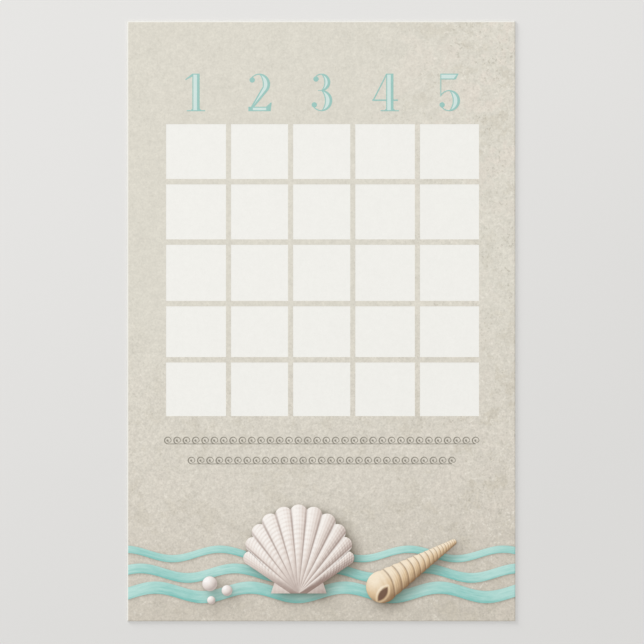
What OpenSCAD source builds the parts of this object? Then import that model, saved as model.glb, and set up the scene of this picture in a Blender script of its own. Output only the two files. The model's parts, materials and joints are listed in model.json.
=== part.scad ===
// Bingo card: a flat sheet of card stock whose face carries thin films of print.
// The card lies face up. The origin is the middle of its underside, +X points to the right
// across the face, +Y points up the face to the heading and +Z points out of the face.

/* [Card] */
// Width of the trimmed sheet
card_w = 139.7; // [125:0.1:170]
// Height of the trimmed sheet, from its lower edge to its upper edge
card_h = 215.9; // [180:0.1:280]
// Thickness of the card stock
stock_t = 0.45; // [0.25:0.05:1]
// Thickness of one film of ink
ink_t = 0.02; // [0.01:0.005:0.06]
// Bare rim left between the print and the cut edge
bare_rim = 0.4; // [0.2:0.05:2]

/* [Grid] */
// Mean margin to the left and right of the grid
side_margin = 13.6; // [8:0.1:20]
// Distance from the grid down to the lower edge of the card
foot_room = 73.75; // [64:0.05:90]
// Width of the upright bars between the cells
upright_bar = 1.8; // [0.8:0.05:3]
// Height of the level bars between the cells
level_bar = 1.95; // [0.8:0.05:3]
// Distance from the upper edge of the card down to the grid
grid_drop = 37.2; // [30:0.1:44]
// Sideways offset of the grid from the card's centre line
grid_offset = 0.55; // [-3:0.05:3]

/* [Heading figures] */
// Height of a figure
numeral_h = 13.5; // [12:0.1:16]
// Gap between the grid and the foot of the figures
heading_gap = 4.65; // [2:0.05:8]
// Width of a thick stroke
stroke_w = 2.6; // [1.9:0.05:3]
// Width of the thin contour, of the hairlines and of the serifs
hair_w = 0.36; // [0.2:0.02:0.5]
// Width of the heavy contour along the right of each thick stroke
shade_w = 0.95; // [0.5:0.05:1.2]
// Length of the serif under a stem
serif_w = 6.6; // [4.5:0.1:8]
// Size of the bracket between a stem and its serif
bracket = 0.6; // [0.2:0.05:1]
// Outer radius of a large bowl
bowl_r = 3.8; // [3.4:0.05:4.2]
// Radius of the ball that ends a hairline
ball_r = 0.95; // [0.5:0.05:1.3]
// Width of the foot of the two
two_w = 8; // [7:0.1:9]
// Height of the bar at the foot of the two
foot_h = 1.6; // [1.2:0.05:2.2]
// Height of the spur at the end of that bar
spur_h = 3.1; // [2.4:0.05:4]
// Width of the four
four_w = 9.2; // [8:0.1:11]
// Distance of the four's stem from its middle
four_stem_x = 1.7; // [1:0.05:2.5]
// Height of the four's crossbar
four_bar_y = 3.7; // [2.5:0.05:5]
// Reach of the flag at the head of the one
one_flag_w = 2.5; // [1.5:0.05:3.5]
// Drop of that flag
one_flag_h = 2; // [1.2:0.05:3]
// Reach of the flag at the head of the five
five_flag_w = 6.6; // [5:0.1:7.5]
// Depth of that flag
five_flag_h = 2.1; // [1.6:0.05:2.8]

/* [Scroll lines] */
// Length of the upper line
upper_scroll_l = 114; // [80:0.5:120]
// Length of the lower line
lower_scroll_l = 97; // [60:0.5:120]
// Height of a curl
scroll_h = 2.7; // [1.8:0.05:3]
// Nominal spacing of the curls
scroll_pitch = 3.4; // [3.2:0.05:6]
// Thick part of a curl's stroke
scroll_thick = 0.44; // [0.3:0.02:0.6]
// Thin part of a curl's stroke
scroll_thin = 0.24; // [0.14:0.02:0.3]
// Distance from the grid down to the foot of the upper line
scroll_drop = 10.1; // [7:0.1:14]
// Distance between the feet of the two lines
scroll_step = 7.2; // [4.5:0.1:9]

/* [Wave stripes] */
// Width of the lowest stripe
wave_w = 4.4; // [3:0.1:5.4]
// Distance between the middles of neighbouring stripes
wave_step = 6.9; // [6.2:0.1:9]
// Height of the lowest stripe above the lower edge of the card
wave_rise = 10.4; // [8:0.1:14]
// Rise of a crest
wave_crest = 1.7; // [0.5:0.1:2.4]
// Length of one wave
wave_l = 34; // [24:0.5:60]

/* [Scallop] */
// Height of the fan, from its hinge to its crown
fan_h = 32; // [26:0.5:36]
// Spread of the fan to each side of its middle, in degrees
fan_spread = 54; // [46:1:62]
// Number of ribs
rib_count = 11; // [7:2:15]
// Width of a groove between two ribs, at the margin
groove_w = 0.75; // [0.3:0.05:1.2]
// Width of the fan at its hinge
throat_w = 6; // [4:0.1:9]
// Width of the two ears together, along the hinge line
hinge_w = 20; // [15:0.1:26]
// Height of an ear
hinge_h = 5; // [3:0.1:7]
// Sideways place of the scallop, from the card's centre line
fan_x = -8; // [-20:0.5:6]
// Height of the hinge above the lower edge of the card
fan_rise = 10; // [7:0.1:14]

/* [Turret shell] */
// Radius of the largest whorl
whorl_r = 5.8; // [4.5:0.1:7]
// Number of whorls
whorl_count = 17; // [9:1:20]
// Width of the line between two whorls
suture_w = 0.45; // [0.2:0.05:0.6]
// Length of the mouth
mouth_l = 6; // [4:0.1:7]
// Width of the mouth
mouth_w = 2.6; // [1.5:0.1:3.5]
// Distance of the largest whorl from the right edge of the card
turret_inset = 47.85; // [42:0.05:52]
// Height of the largest whorl above the lower edge of the card
turret_rise = 12.4; // [9:0.1:18]
// Slope of the shell, in degrees
turret_slope = 32; // [10:1:60]

/* [Pearls] */
// Radius of the largest pearl
pearl_r = 2.7; // [1.8:0.05:3.2]
// Distance of the largest pearl from the left edge of the card
pearl_inset = 29.85; // [22:0.05:34]
// Height of the largest pearl above the lower edge of the card
pearl_rise = 13.5; // [10:0.1:18]

/* [Hidden] */
// Width of each column and height of each row, of the mean column and row
column_shares = [1.023, 0.974, 0.976, 1.018, 1.009];
row_shares = [1.014, 1.017, 1.038, 0.939, 0.992];
// Where the two's tail leaves its bowl, and where the ends of open bowls stand, in degrees
tail_turn = -40;
end_turn = 150;
// How far strokes that meet run into each other, in degrees
lap_turn = 8;
// Depth of a ball below the outside of its hairline, of the ball's radius
ball_depth_share = 0.8;
// Lap of the three's bowls, of a hairline's width, and width of its waist line, of that lap
waist_share = 0.85;
waist_line_share = 0.75;
// Where the tint in the two's tail runs out, along the tail
tail_tint_share = 0.72;
// Radius of a curl's inner turn and of its bead, and lap of its tail, of a curl's radius
inner_curl_share = 0.58;
curl_bead_share = 0.28;
curl_tail_share = 0.75;
// Width and sideways shift of each stripe, lowest first, of the lowest stripe and of a wave's length
wave_width_shares = [1, 0.8, 0.6];
wave_shift_shares = [0, 0.16, 0.32];
// Straight steps along one stripe
wave_steps = 72;
// Reach of the fan at right angles to its middle, and size of a rib's rounded end, of a plain fan's
fan_side_share = 0.4;
lobe_share = 1.08;
// How far out the fan's straight sides run into the end ribs, of such a rib's rounded end
shoulder_share = 0.97;
// Where a groove starts, of the fan's reach, and the ears' width at their top, of the hinge line's
groove_start_share = 0.24;
ear_top_share = 0.84;
// Each whorl's radius of the one before it, and its advance of its radius
whorl_shrink_share = 0.9;
whorl_step_share = 0.64;
// Bulge of the line between two whorls, of the larger one's radius, and its lean in degrees
suture_bulge_share = 0.26;
suture_lean = -9;
// Place of the mouth on the largest whorl, of its radius, and its lean from the shell's line in degrees
mouth_place_shares = [-0.2, -0.4];
mouth_lean = 24;
// Size and place of each pearl, of the largest pearl's radius
pearl_size_shares = [1, 0.72, 0.55];
pearl_place_shares = [[0, 0], [2.3, -0.9], [0.2, -2.2]];

columns = len(column_shares);
rows = len(row_shares);
card_foot = -card_h / 2;
grid_left = grid_offset + side_margin - card_w / 2;
grid_top = card_h / 2 - grid_drop;
grid_foot = card_foot + foot_room;
cell_w = (card_w - 2 * side_margin - upright_bar * (columns - 1)) / sum(column_shares, columns);
cell_h = (grid_top - grid_foot - level_bar * (rows - 1)) / sum(row_shares, rows);
heading_y = grid_top + heading_gap;
print_w = card_w - 2 * bare_rim;
print_h = card_h - 2 * bare_rim;
ground_z = stock_t;
figure_z = ground_z + ink_t;
detail_z = figure_z + ink_t;
turret_x = card_w / 2 - turret_inset;
pearl_x = pearl_inset - card_w / 2;
waist_lap = waist_share * hair_w;
small_bowl_r = (numeral_h + waist_lap) / 2 - bowl_r;
small_stroke_w = stroke_w * small_bowl_r / bowl_r;
slant_w = hair_w * sqrt(2);
five_left = bowl_r * cos(end_turn);
curl_r = scroll_h / 2;
rib_turn = 2 * fan_spread / (rib_count - 1);
wave_names = ["lower_wave", "middle_wave", "upper_wave"];

stock_white = [0.94, 0.94, 0.92];
sand = [0.85, 0.83, 0.78];
teal = [0.51, 0.76, 0.76];
pale_teal = [0.80, 0.89, 0.88];
caption_grey = [0.55, 0.53, 0.49];
wave_teal = [0.62, 0.80, 0.78];
shell_cream = [0.88, 0.83, 0.79];
shell_brown = [0.64, 0.55, 0.50];
shell_tan = [0.85, 0.75, 0.62];
shell_umber = [0.68, 0.56, 0.42];
pearl_white = [0.93, 0.90, 0.89];

$fn = 96;

// Sum of the first entries of a list
function sum(list, count) = count == 0 ? 0 : list[count - 1] + sum(list, count - 1);

function column_w(c) = cell_w * column_shares[c];
function column_x(c) = grid_left + cell_w * sum(column_shares, c) + upright_bar * c;
function row_h(r) = cell_h * row_shares[r];
function row_y(r) = grid_top - cell_h * sum(row_shares, r + 1) - level_bar * r;

function turned(reach, angle) = reach * [cos(angle), sin(angle)];

// How far left of a bowl's middle its counter is centred, so that the stroke runs out to a hairline
function counter_back(r, thick) = ((r - hair_w) ^ 2 - (r - thick) ^ 2) / (2 * (r - thick));

// Reach, at an angle from a bowl's middle, of a circle that is centred further left
function reach_to(back, r, angle) = sqrt(r ^ 2 - (back * sin(angle)) ^ 2) - back * cos(angle);

module film(z) {
    translate([0, 0, z])
        linear_extrude(ink_t)
            children();
}

module half_right(r) {
    translate([0, -r])
        square([r, 2 * r]);
}

// Slice of the plane between two angles, which covers a circle of that radius
module slice(r, from, to) {
    reach = 2 * r / cos((to - from) / 4);
    polygon([for (share = [0 : 1 / 4 : 1]) turned(reach, from + share * (to - from)), [0, 0]]);
}

// Bowl that opens to the left: thick at its right and a hairline at its head and foot
module bowl(r, thick) {
    back = counter_back(r, thick);
    difference() {
        circle(r);
        translate([-back, 0])
            circle(r - thick + back);
    }
}

module bowl_tint(r, thick) {
    back = counter_back(r, thick);
    difference() {
        translate([hair_w - shade_w, 0])
            circle(r - hair_w);
        translate([-back, 0])
            circle(r - thick + back + hair_w);
    }
}

module hair_arc(r, from, to) {
    intersection() {
        difference() {
            circle(r);
            circle(r - hair_w);
        }
        slice(r, from, to);
    }
}

module ball(r, angle) {
    translate(turned(r - ball_depth_share * ball_r, angle))
        circle(ball_r);
}

module stem() {
    translate([-stroke_w / 2, 0])
        square([stroke_w, numeral_h]);
    translate([-serif_w / 2, 0])
        square([serif_w, hair_w]);
    polygon([
        [-stroke_w / 2 - bracket, hair_w], [stroke_w / 2 + bracket, hair_w],
        [stroke_w / 2, hair_w + bracket], [-stroke_w / 2, hair_w + bracket]
    ]);
}

module stem_tint() {
    translate([hair_w - stroke_w / 2, hair_w])
        square([stroke_w - hair_w - shade_w, numeral_h - 2 * hair_w]);
}

module one_shape() {
    left = -stroke_w / 2;
    stem();
    polygon([
        [left, numeral_h], [left - one_flag_w, numeral_h - one_flag_h],
        [left - one_flag_w, numeral_h - one_flag_h - hair_w], [left, numeral_h - one_flag_h / 2]
    ]);
}

module two_shape() {
    middle = [0, numeral_h - bowl_r];
    back = counter_back(bowl_r, stroke_w);
    inner = reach_to(back, bowl_r - stroke_w + back, tail_turn);
    translate(middle) {
        intersection() {
            bowl(bowl_r, stroke_w);
            slice(bowl_r, tail_turn, end_turn);
        }
        hair_arc(bowl_r, 90 - lap_turn, end_turn);
        ball(bowl_r, end_turn);
    }
    polygon([
        middle + turned(bowl_r, tail_turn), middle + turned((bowl_r + inner) / 2, tail_turn + lap_turn),
        middle + turned(inner, tail_turn), [-two_w / 2, 0], [foot_h / 2 - two_w / 2, 0]
    ]);
    translate([-two_w / 2, 0])
        square([two_w, foot_h]);
    polygon([
        [two_w / 2 - foot_h, foot_h], [two_w / 2, 0],
        [two_w / 2 + hair_w, spur_h], [two_w / 2, spur_h]
    ]);
}

module two_tint() {
    middle = [0, numeral_h - bowl_r];
    back = counter_back(bowl_r, stroke_w);
    outer = reach_to(shade_w - hair_w, bowl_r - hair_w, tail_turn);
    inner = reach_to(back, bowl_r - stroke_w + back + hair_w, tail_turn);
    tail_head = middle + turned((outer + inner) / 2, tail_turn);
    tail_foot = [foot_h / 4 - two_w / 2, 0];
    translate(middle)
        intersection() {
            bowl_tint(bowl_r, stroke_w);
            slice(bowl_r, tail_turn, end_turn);
        }
    polygon([
        middle + turned(outer, tail_turn), middle + turned((outer + inner) / 2, tail_turn + lap_turn),
        middle + turned(inner, tail_turn), tail_head + tail_tint_share * (tail_foot - tail_head)
    ]);
    translate([foot_h - two_w / 2, hair_w])
        square([two_w - 2 * foot_h, foot_h - 2 * hair_w]);
}

module three_shape() {
    translate([0, numeral_h - small_bowl_r]) {
        bowl(small_bowl_r, small_stroke_w);
        hair_arc(small_bowl_r, 90 - lap_turn, end_turn);
        ball(small_bowl_r, end_turn);
    }
    translate([0, bowl_r]) {
        bowl(bowl_r, stroke_w);
        hair_arc(bowl_r, -end_turn, lap_turn - 90);
        ball(bowl_r, -end_turn);
    }
    translate([-stroke_w / 2, 2 * bowl_r - waist_lap * (1 + waist_line_share) / 2])
        square([stroke_w / 2 + hair_w, waist_line_share * waist_lap]);
}

module three_tint() {
    translate([0, numeral_h - small_bowl_r])
        bowl_tint(small_bowl_r, small_stroke_w);
    translate([0, bowl_r])
        bowl_tint(bowl_r, stroke_w);
}

module four_shape() {
    stem_left = four_stem_x - stroke_w / 2;
    translate([four_stem_x, 0])
        stem();
    translate([-four_w / 2, four_bar_y])
        square([four_w, slant_w]);
    polygon([
        [stem_left, numeral_h], [-four_w / 2, four_bar_y],
        [slant_w - four_w / 2, four_bar_y], [stem_left, numeral_h - 2 * slant_w]
    ]);
}

module four_tint() {
    translate([four_stem_x, 0])
        stem_tint();
}

module five_flag(inset, shade) {
    translate([five_left, numeral_h])
        polygon([
            [inset, -inset], [inset, inset - five_flag_h],
            [five_flag_w - five_flag_h / 2 - inset - shade, inset - five_flag_h],
            [five_flag_w - inset - shade, -inset]
        ]);
}

module five_shape() {
    arc_y = bowl_r + bowl_r * sin(end_turn);
    translate([0, bowl_r]) {
        bowl(bowl_r, stroke_w);
        hair_arc(bowl_r, 90 - lap_turn, end_turn);
        hair_arc(bowl_r, -end_turn, lap_turn - 90);
        ball(bowl_r, -end_turn);
    }
    translate([five_left, arc_y - hair_w])
        square([hair_w, numeral_h - arc_y]);
    five_flag(0, 0);
}

module five_tint() {
    translate([0, bowl_r])
        bowl_tint(bowl_r, stroke_w);
    five_flag(hair_w, hair_w);
}

module numeral_shape(figure) {
    if (figure == 1) one_shape();
    if (figure == 2) two_shape();
    if (figure == 3) three_shape();
    if (figure == 4) four_shape();
    if (figure == 5) five_shape();
}

module numeral_tint_shape(figure) {
    if (figure == 1) stem_tint();
    if (figure == 2) two_tint();
    if (figure == 3) three_tint();
    if (figure == 4) four_tint();
    if (figure == 5) five_tint();
}

module over_column(figure) {
    c = figure - 1;
    translate([column_x(c) + column_w(c) / 2, heading_y])
        children();
}

module curl(with_tail, pitch) {
    inner_r = inner_curl_share * curl_r;
    difference() {
        translate([curl_r, curl_r])
            circle(curl_r);
        translate([curl_r + (scroll_thick - scroll_thin) / 2, curl_r])
            circle(curl_r - (scroll_thick + scroll_thin) / 2);
        translate([curl_r, 0])
            square([curl_r, curl_r]);
    }
    translate([2 * curl_r - inner_r, curl_r]) {
        difference() {
            circle(inner_r);
            circle(inner_r - scroll_thin);
            translate([-inner_r, 0])
                square([2 * inner_r, inner_r]);
        }
        translate([scroll_thin / 2 - inner_r, 0])
            circle(curl_bead_share * curl_r);
    }
    if (with_tail)
        translate([curl_r, 0])
            square([pitch - (1 - curl_tail_share) * curl_r, scroll_thin]);
}

module scroll_line(length, foot_y) {
    count = round(length / scroll_pitch);
    pitch = length / count;
    for (i = [0 : count - 1])
        translate([grid_offset - length / 2 + pitch * i, foot_y])
            curl(i < count - 1, pitch);
}

function wave_middle(i, x) =
    card_foot + wave_rise + wave_step * i
    + wave_crest * sin(360 * (x / wave_l + wave_shift_shares[i]));

module wave_shape(i) {
    half = wave_w * wave_width_shares[i] / 2;
    places = [for (s = [0 : wave_steps]) print_w * (s / wave_steps - 1 / 2)];
    lower = [for (x = places) [x, wave_middle(i, x) - half]];
    upper = [for (s = [wave_steps : -1 : 0]) [places[s], wave_middle(i, places[s]) + half]];
    polygon(concat(lower, upper));
}

function rib_angle(i) = rib_turn * i - fan_spread;
function fan_reach(angle) = fan_h * (fan_side_share + (1 - fan_side_share) * cos(angle));
function lobe_r(angle) = lobe_share * fan_reach(angle) * sin(rib_turn / 2);
function lobe_middle(angle) = turned(fan_reach(angle) - lobe_r(angle), 90 - angle);

// Where a straight side of the fan runs into the outer flank of its end rib
function shoulder(side) =
    let (
        middle = lobe_middle(side * fan_spread),
        way = middle - [side * throat_w / 2, 0],
        bearing = atan2(way.y, way.x) - side * asin(lobe_r(fan_spread) / norm(way))
    )
    middle + turned(shoulder_share * lobe_r(fan_spread), bearing - side * 90);

module at_scallop() {
    translate([fan_x, card_foot + fan_rise])
        children();
}

module fan_shape() {
    angles = [for (i = [rib_count - 1 : -1 : 0]) rib_angle(i)];
    polygon(concat(
        [[-throat_w / 2, 0], [throat_w / 2, 0], shoulder(1)],
        [for (a = angles) lobe_middle(a)], [shoulder(-1)]
    ));
    for (a = angles)
        translate(lobe_middle(a))
            circle(lobe_r(a));
}

module groove_shapes() {
    for (i = [0 : rib_count - 2]) {
        angle = rib_angle(i) + rib_turn / 2;
        reach = fan_reach(angle) - lobe_r(angle);
        rotate(-angle)
            polygon([[0, groove_start_share * reach], [groove_w / 2, reach], [-groove_w / 2, reach]]);
    }
}

module hinge_shape() {
    top = ear_top_share * hinge_w / 2;
    polygon([[-hinge_w / 2, 0], [hinge_w / 2, 0], [top, hinge_h], [-top, hinge_h]]);
}

module scallop_outline() {
    at_scallop() {
        fan_shape();
        hinge_shape();
    }
}

function this_whorl_r(k) = whorl_r * whorl_shrink_share ^ k;
function whorl_advance(k) =
    whorl_r * whorl_step_share * (1 - whorl_shrink_share ^ k) / (1 - whorl_shrink_share);

module at_whorl(k) {
    translate([turret_x, card_foot + turret_rise])
        rotate(turret_slope)
            translate([whorl_advance(k), 0])
                children();
}

module turret_outline() {
    for (k = [0 : whorl_count - 1])
        at_whorl(k)
            circle(this_whorl_r(k));
}

// Arc through the two notches between a whorl and the next, bulging towards the tip
module suture(k) {
    r = this_whorl_r(k);
    advance = whorl_step_share * r;
    notch_x = (advance ^ 2 + r ^ 2 - this_whorl_r(k + 1) ^ 2) / (2 * advance);
    notch_y = sqrt(r ^ 2 - notch_x ^ 2);
    bulge = suture_bulge_share * r;
    arc_r = (notch_y ^ 2 + bulge ^ 2) / (2 * bulge);
    line = suture_w * r / whorl_r;
    rotate(suture_lean)
        intersection() {
            translate([notch_x + bulge - arc_r, 0])
                difference() {
                    circle(arc_r + line / 2);
                    circle(arc_r - line / 2);
                }
            half_right(2 * r);
        }
}

module suture_shapes() {
    intersection() {
        for (k = [0 : whorl_count - 2])
            at_whorl(k)
                suture(k);
        turret_outline();
    }
}

// Lens between two equal arcs
module lens(length, width) {
    r = (length ^ 2 / width + width) / 4;
    intersection() {
        translate([0, r - width / 2])
            circle(r);
        translate([0, width / 2 - r])
            circle(r);
    }
}

module mouth_shape() {
    at_whorl(0)
        translate(whorl_r * mouth_place_shares)
            rotate(mouth_lean)
                lens(mouth_l, mouth_w);
}

module pearl_outlines() {
    for (i = [0 : len(pearl_size_shares) - 1])
        translate([pearl_x, card_foot + pearl_rise] + pearl_r * pearl_place_shares[i])
            circle(pearl_r * pearl_size_shares[i]);
}

module card_stock() {
    color(stock_white)
        translate([-card_w / 2, -card_h / 2, 0])
            cube([card_w, card_h, stock_t]);
}

module ground_print() {
    color(sand)
        film(ground_z)
            difference() {
                square([print_w, print_h], center = true);
                for (r = [0 : rows - 1], c = [0 : columns - 1])
                    translate([column_x(c), row_y(r)])
                        square([column_w(c), row_h(r)]);
            }
}

module numeral_line(figure) {
    color(teal)
        film(figure_z)
            over_column(figure)
                difference() {
                    numeral_shape(figure);
                    numeral_tint_shape(figure);
                }
}

module numeral_tint(figure) {
    color(pale_teal)
        film(figure_z)
            over_column(figure)
                numeral_tint_shape(figure);
}

module upper_scroll() {
    color(caption_grey)
        film(figure_z)
            scroll_line(upper_scroll_l, grid_foot - scroll_drop);
}

module lower_scroll() {
    color(caption_grey)
        film(figure_z)
            scroll_line(lower_scroll_l, grid_foot - scroll_drop - scroll_step);
}

// The stripes stop at the shells and pearls, which lie on the ground as they do
module wave(i) {
    color(wave_teal)
        film(figure_z)
            difference() {
                wave_shape(i);
                scallop_outline();
                turret_outline();
                pearl_outlines();
            }
}

module scallop_fan() {
    color(shell_cream)
        film(figure_z)
            at_scallop()
                fan_shape();
}

module scallop_grooves() {
    color(shell_brown)
        film(detail_z)
            at_scallop()
                groove_shapes();
}

module scallop_hinge() {
    color(shell_cream)
        film(figure_z)
            at_scallop()
                difference() {
                    hinge_shape();
                    fan_shape();
                }
}

module turret_whorls() {
    color(shell_tan)
        film(figure_z)
            difference() {
                turret_outline();
                scallop_outline();
            }
}

module turret_sutures() {
    color(shell_umber)
        film(detail_z)
            difference() {
                suture_shapes();
                mouth_shape();
                scallop_outline();
            }
}

module turret_mouth() {
    color(shell_brown)
        film(detail_z)
            difference() {
                mouth_shape();
                scallop_outline();
            }
}

module pearls() {
    color(pearl_white)
        film(figure_z)
            difference() {
                pearl_outlines();
                scallop_outline();
                turret_outline();
            }
}

card_stock();
ground_print();
for (figure = [1 : columns]) {
    numeral_line(figure);
    numeral_tint(figure);
}
upper_scroll();
lower_scroll();
for (i = [0 : len(wave_names) - 1])
    wave(i);
scallop_fan();
scallop_grooves();
scallop_hinge();
turret_whorls();
turret_sutures();
turret_mouth();
pearls();
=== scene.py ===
import json
from collections import namedtuple
from math import asin, atan2, cos, pi, radians, sin

import bpy
import numpy as np
from bpy.props import FloatProperty, FloatVectorProperty, PointerProperty
from bpy.types import Operator, Panel, PropertyGroup
from mathutils import Color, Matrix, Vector


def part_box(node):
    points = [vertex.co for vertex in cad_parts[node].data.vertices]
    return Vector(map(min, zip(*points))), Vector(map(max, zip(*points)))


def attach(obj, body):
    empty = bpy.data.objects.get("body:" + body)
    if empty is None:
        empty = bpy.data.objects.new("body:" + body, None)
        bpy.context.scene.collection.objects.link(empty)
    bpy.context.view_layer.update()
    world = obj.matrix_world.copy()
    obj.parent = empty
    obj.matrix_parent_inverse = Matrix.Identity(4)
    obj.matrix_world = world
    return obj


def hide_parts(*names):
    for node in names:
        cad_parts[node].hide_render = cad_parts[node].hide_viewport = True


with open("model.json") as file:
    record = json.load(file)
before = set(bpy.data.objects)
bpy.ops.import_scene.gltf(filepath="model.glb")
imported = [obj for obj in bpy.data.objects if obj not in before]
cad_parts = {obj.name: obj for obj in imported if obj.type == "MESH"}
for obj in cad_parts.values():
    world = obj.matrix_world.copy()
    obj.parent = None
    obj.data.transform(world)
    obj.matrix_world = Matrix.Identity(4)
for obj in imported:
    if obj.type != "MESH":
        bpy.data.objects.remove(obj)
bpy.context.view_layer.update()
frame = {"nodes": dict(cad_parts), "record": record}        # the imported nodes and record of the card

bl_info = {
    "name": "Bingo card",
    "version": (1, 0, 0),
    "blender": (4, 5, 0),
    "location": "View3D > Sidebar > Bingo card",
    "description": "Card stock, sand print, heading figures and a seaside foot on a flat bingo card",
    "category": "Object",
}

# The construction's own box, before anything is added to it
BODY = "root"
MM = 0.001

# Shares of the printed shapes, as the construction has them
STRIPES = ("lower", "middle", "upper")
STRIPE_WIDTH_SHARES = (1, 0.8, 0.6)
STRIPE_SHIFT_SHARES = (0, 0.16, 0.32)
RIB_COUNT = 11
FAN_SIDE_SHARE = 0.4
LOBE_SHARE = 1.08
EAR_TOP_SHARE = 0.84
WHORL_COUNT = 17
WHORL_SHRINK_SHARE = 0.9
WHORL_STEP_SHARE = 0.64
MOUTH_PLACE_SHARES = (-0.2, -0.4)
PEARL_SIZE_SHARES = np.array([1, 0.72, 0.55])
PEARL_PLACE_SHARES = np.array([[0, 0], [2.3, -0.9], [0.2, -2.2]])

# A rim's slope, and the count of grid lines over it
RIM_POWER = 1.5
RIM_LINES = 7

# Widest steps of a film's grid, where its print is drawn in detail and elsewhere
FINE_STEP = 0.5 * MM
COARSE_STEP = 3 * MM

# How far the shells' films and the ears' film stand proud of the other prints
SHELL_LIFT = 0.004 * MM
EAR_LIFT = 0.002 * MM

# The light in the printed picture comes from the upper left, and is raised to a power to deepen the shade
PICTURE_LAMP = np.array(Vector((-0.5, 0.55, 0.67)).normalized())
LIGHT_POWER = 1.6


def length(name, description, millimetres):
    """Property for a size, given in millimetres and kept in metres."""
    return FloatProperty(
        name=name, description=description, default=millimetres * MM, unit="LENGTH", precision=6
    )


def turn(name, description, degrees):
    """Property for an angle, given in degrees and kept in radians."""
    return FloatProperty(name=name, description=description, default=radians(degrees), unit="ROTATION")


def amount(name, description, default):
    """Property for a plain amount."""
    return FloatProperty(name=name, description=description, default=default, precision=3)


def ink(name, description, red, green, blue):
    """Property for a colour as it is seen, given in parts of 255."""
    return FloatVectorProperty(
        name=name, description=description, subtype="COLOR_GAMMA", size=3, min=0, max=1,
        default=(red / 255, green / 255, blue / 255),
    )


class CardSheetSizes(PropertyGroup):
    """Sizes of the card stock."""
    near_rim: length("Near rim", "Width of the bare, rounded rim along the left and upper edges", 0.53)
    far_rim: length("Far rim", "Width of the printed, rounded rim along the right and lower edges", 0.4)
    rim_drop: length("Rim drop", "How far the face sinks towards the cut edge", 0.16)
    tooth: length("Tooth", "Size of the bumps of the paper's eggshell surface", 0.9)
    tooth_depth: length("Tooth depth", "Depth of the eggshell surface", 0.006)


class CardPictureSizes(PropertyGroup):
    """Sizes of the printed picture."""
    stripe_width: length("Stripe width", "Width of the lowest stripe", 4.4)
    stripe_step: length("Stripe step", "Distance between the middles of neighbouring stripes", 6.9)
    stripe_rise: length("Stripe rise", "Height of the lowest stripe above the card's lower edge", 10.4)
    stripe_crest: length("Stripe crest", "Rise of a stripe's crest", 1.7)
    stripe_wave: length("Stripe wave", "Length of one wave of a stripe", 34)
    fan_spread: turn("Fan spread", "Spread of the scallop to each side of its middle", 54)
    throat: length("Throat", "Width of the scallop's fan at its hinge", 6)
    ear: length("Ear", "Height of the scallop's ears", 5)
    whorl: length("Whorl", "Radius of the turret shell's largest whorl", 5.8)
    turret_inset: length("Turret inset", "Distance of that whorl from the card's right edge", 47.85)
    turret_rise: length("Turret rise", "Height of that whorl above the card's lower edge", 12.4)
    turret_slope: turn("Turret slope", "Slope of the turret shell", 32)
    suture_bulge: length("Suture bulge", "Bulge of the line after the largest whorl, towards the tip", 1.5)
    suture_lean: turn("Suture lean", "Lean of the lines between whorls", -9)
    mouth_length: length("Mouth length", "Length of the turret shell's mouth", 6)
    mouth_width: length("Mouth width", "Width of the turret shell's mouth", 2.6)
    mouth_lean: turn("Mouth lean", "Lean of the mouth from the shell's line", 24)
    pearl: length("Pearl", "Radius of the largest pearl", 2.7)
    pearl_inset: length("Pearl inset", "Distance of that pearl from the card's left edge", 29.85)
    pearl_rise: length("Pearl rise", "Height of that pearl above the card's lower edge", 13.5)
    shadow_drop: length("Shadow drop", "How far the shells' printed shadows fall to the lower right", 3)
    shadow_blur: length("Shadow blur", "Softness of the shells' printed shadows", 2.1)
    edge_drop: length("Edge drop", "How far the thin shadows along printed edges fall", 0.35)
    edge_blur: length("Edge blur", "Softness of the thin shadows along printed edges", 0.4)


class CardColours(PropertyGroup):
    """Colours of the stock and of the inks."""
    stock: ink("Stock", "Bare card stock", 241, 240, 235)
    core: ink("Core", "Raw core of the stock along its cut edge", 214, 213, 208)
    sand: ink("Sand", "Ground print in the upper half", 219, 215, 203)
    sand_worn: ink("Worn sand", "Ground print below the grid", 214, 208, 196)
    sand_deep: ink("Deep sand", "Ground print at the foot", 203, 196, 183)
    blush: ink("Blush", "Warm worn patches of the ground print", 229, 217, 205)
    speck: ink("Speck", "Dark specks of the ground print", 180, 174, 159)
    khaki: ink("Khaki", "Dull patches of the ground print", 199, 191, 174)
    fleck: ink("Fleck", "Pale flecks of the ground print", 235, 230, 219)
    teal_line: ink("Teal line", "Contours of the heading figures", 156, 199, 191)
    teal_tint: ink("Teal tint", "Insides of the heading figures", 209, 227, 222)
    grey_line: ink("Grey line", "Scroll lines under the grid", 146, 141, 130)
    stripe_light: ink("Light stripe", "Lit parts of the stripes", 187, 224, 217)
    stripe_deep: ink("Deep stripe", "Shaded parts of the stripes", 126, 192, 184)
    shadow: ink("Shadow", "Printed shadows", 128, 118, 104)
    scallop_light: ink("Scallop light", "Lit ribs of the scallop", 249, 244, 239)
    scallop: ink("Scallop", "Body of the scallop", 226, 214, 206)
    scallop_shade: ink("Scallop shade", "Shaded flanks of the scallop", 152, 130, 121)
    turret_light: ink("Turret light", "Lit side of the turret shell", 246, 231, 207)
    turret: ink("Turret", "Body of the turret shell", 221, 194, 157)
    turret_shade: ink("Turret shade", "Shaded side of the turret shell", 140, 108, 76)
    mouth: ink("Mouth", "Inside of the turret shell's mouth", 110, 82, 66)
    pearl_light: ink("Pearl light", "Lit side of the pearls", 253, 250, 248)
    pearl: ink("Pearl", "Body of the pearls", 229, 219, 213)
    pearl_shade: ink("Pearl shade", "Shaded side of the pearls", 160, 143, 136)


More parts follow.
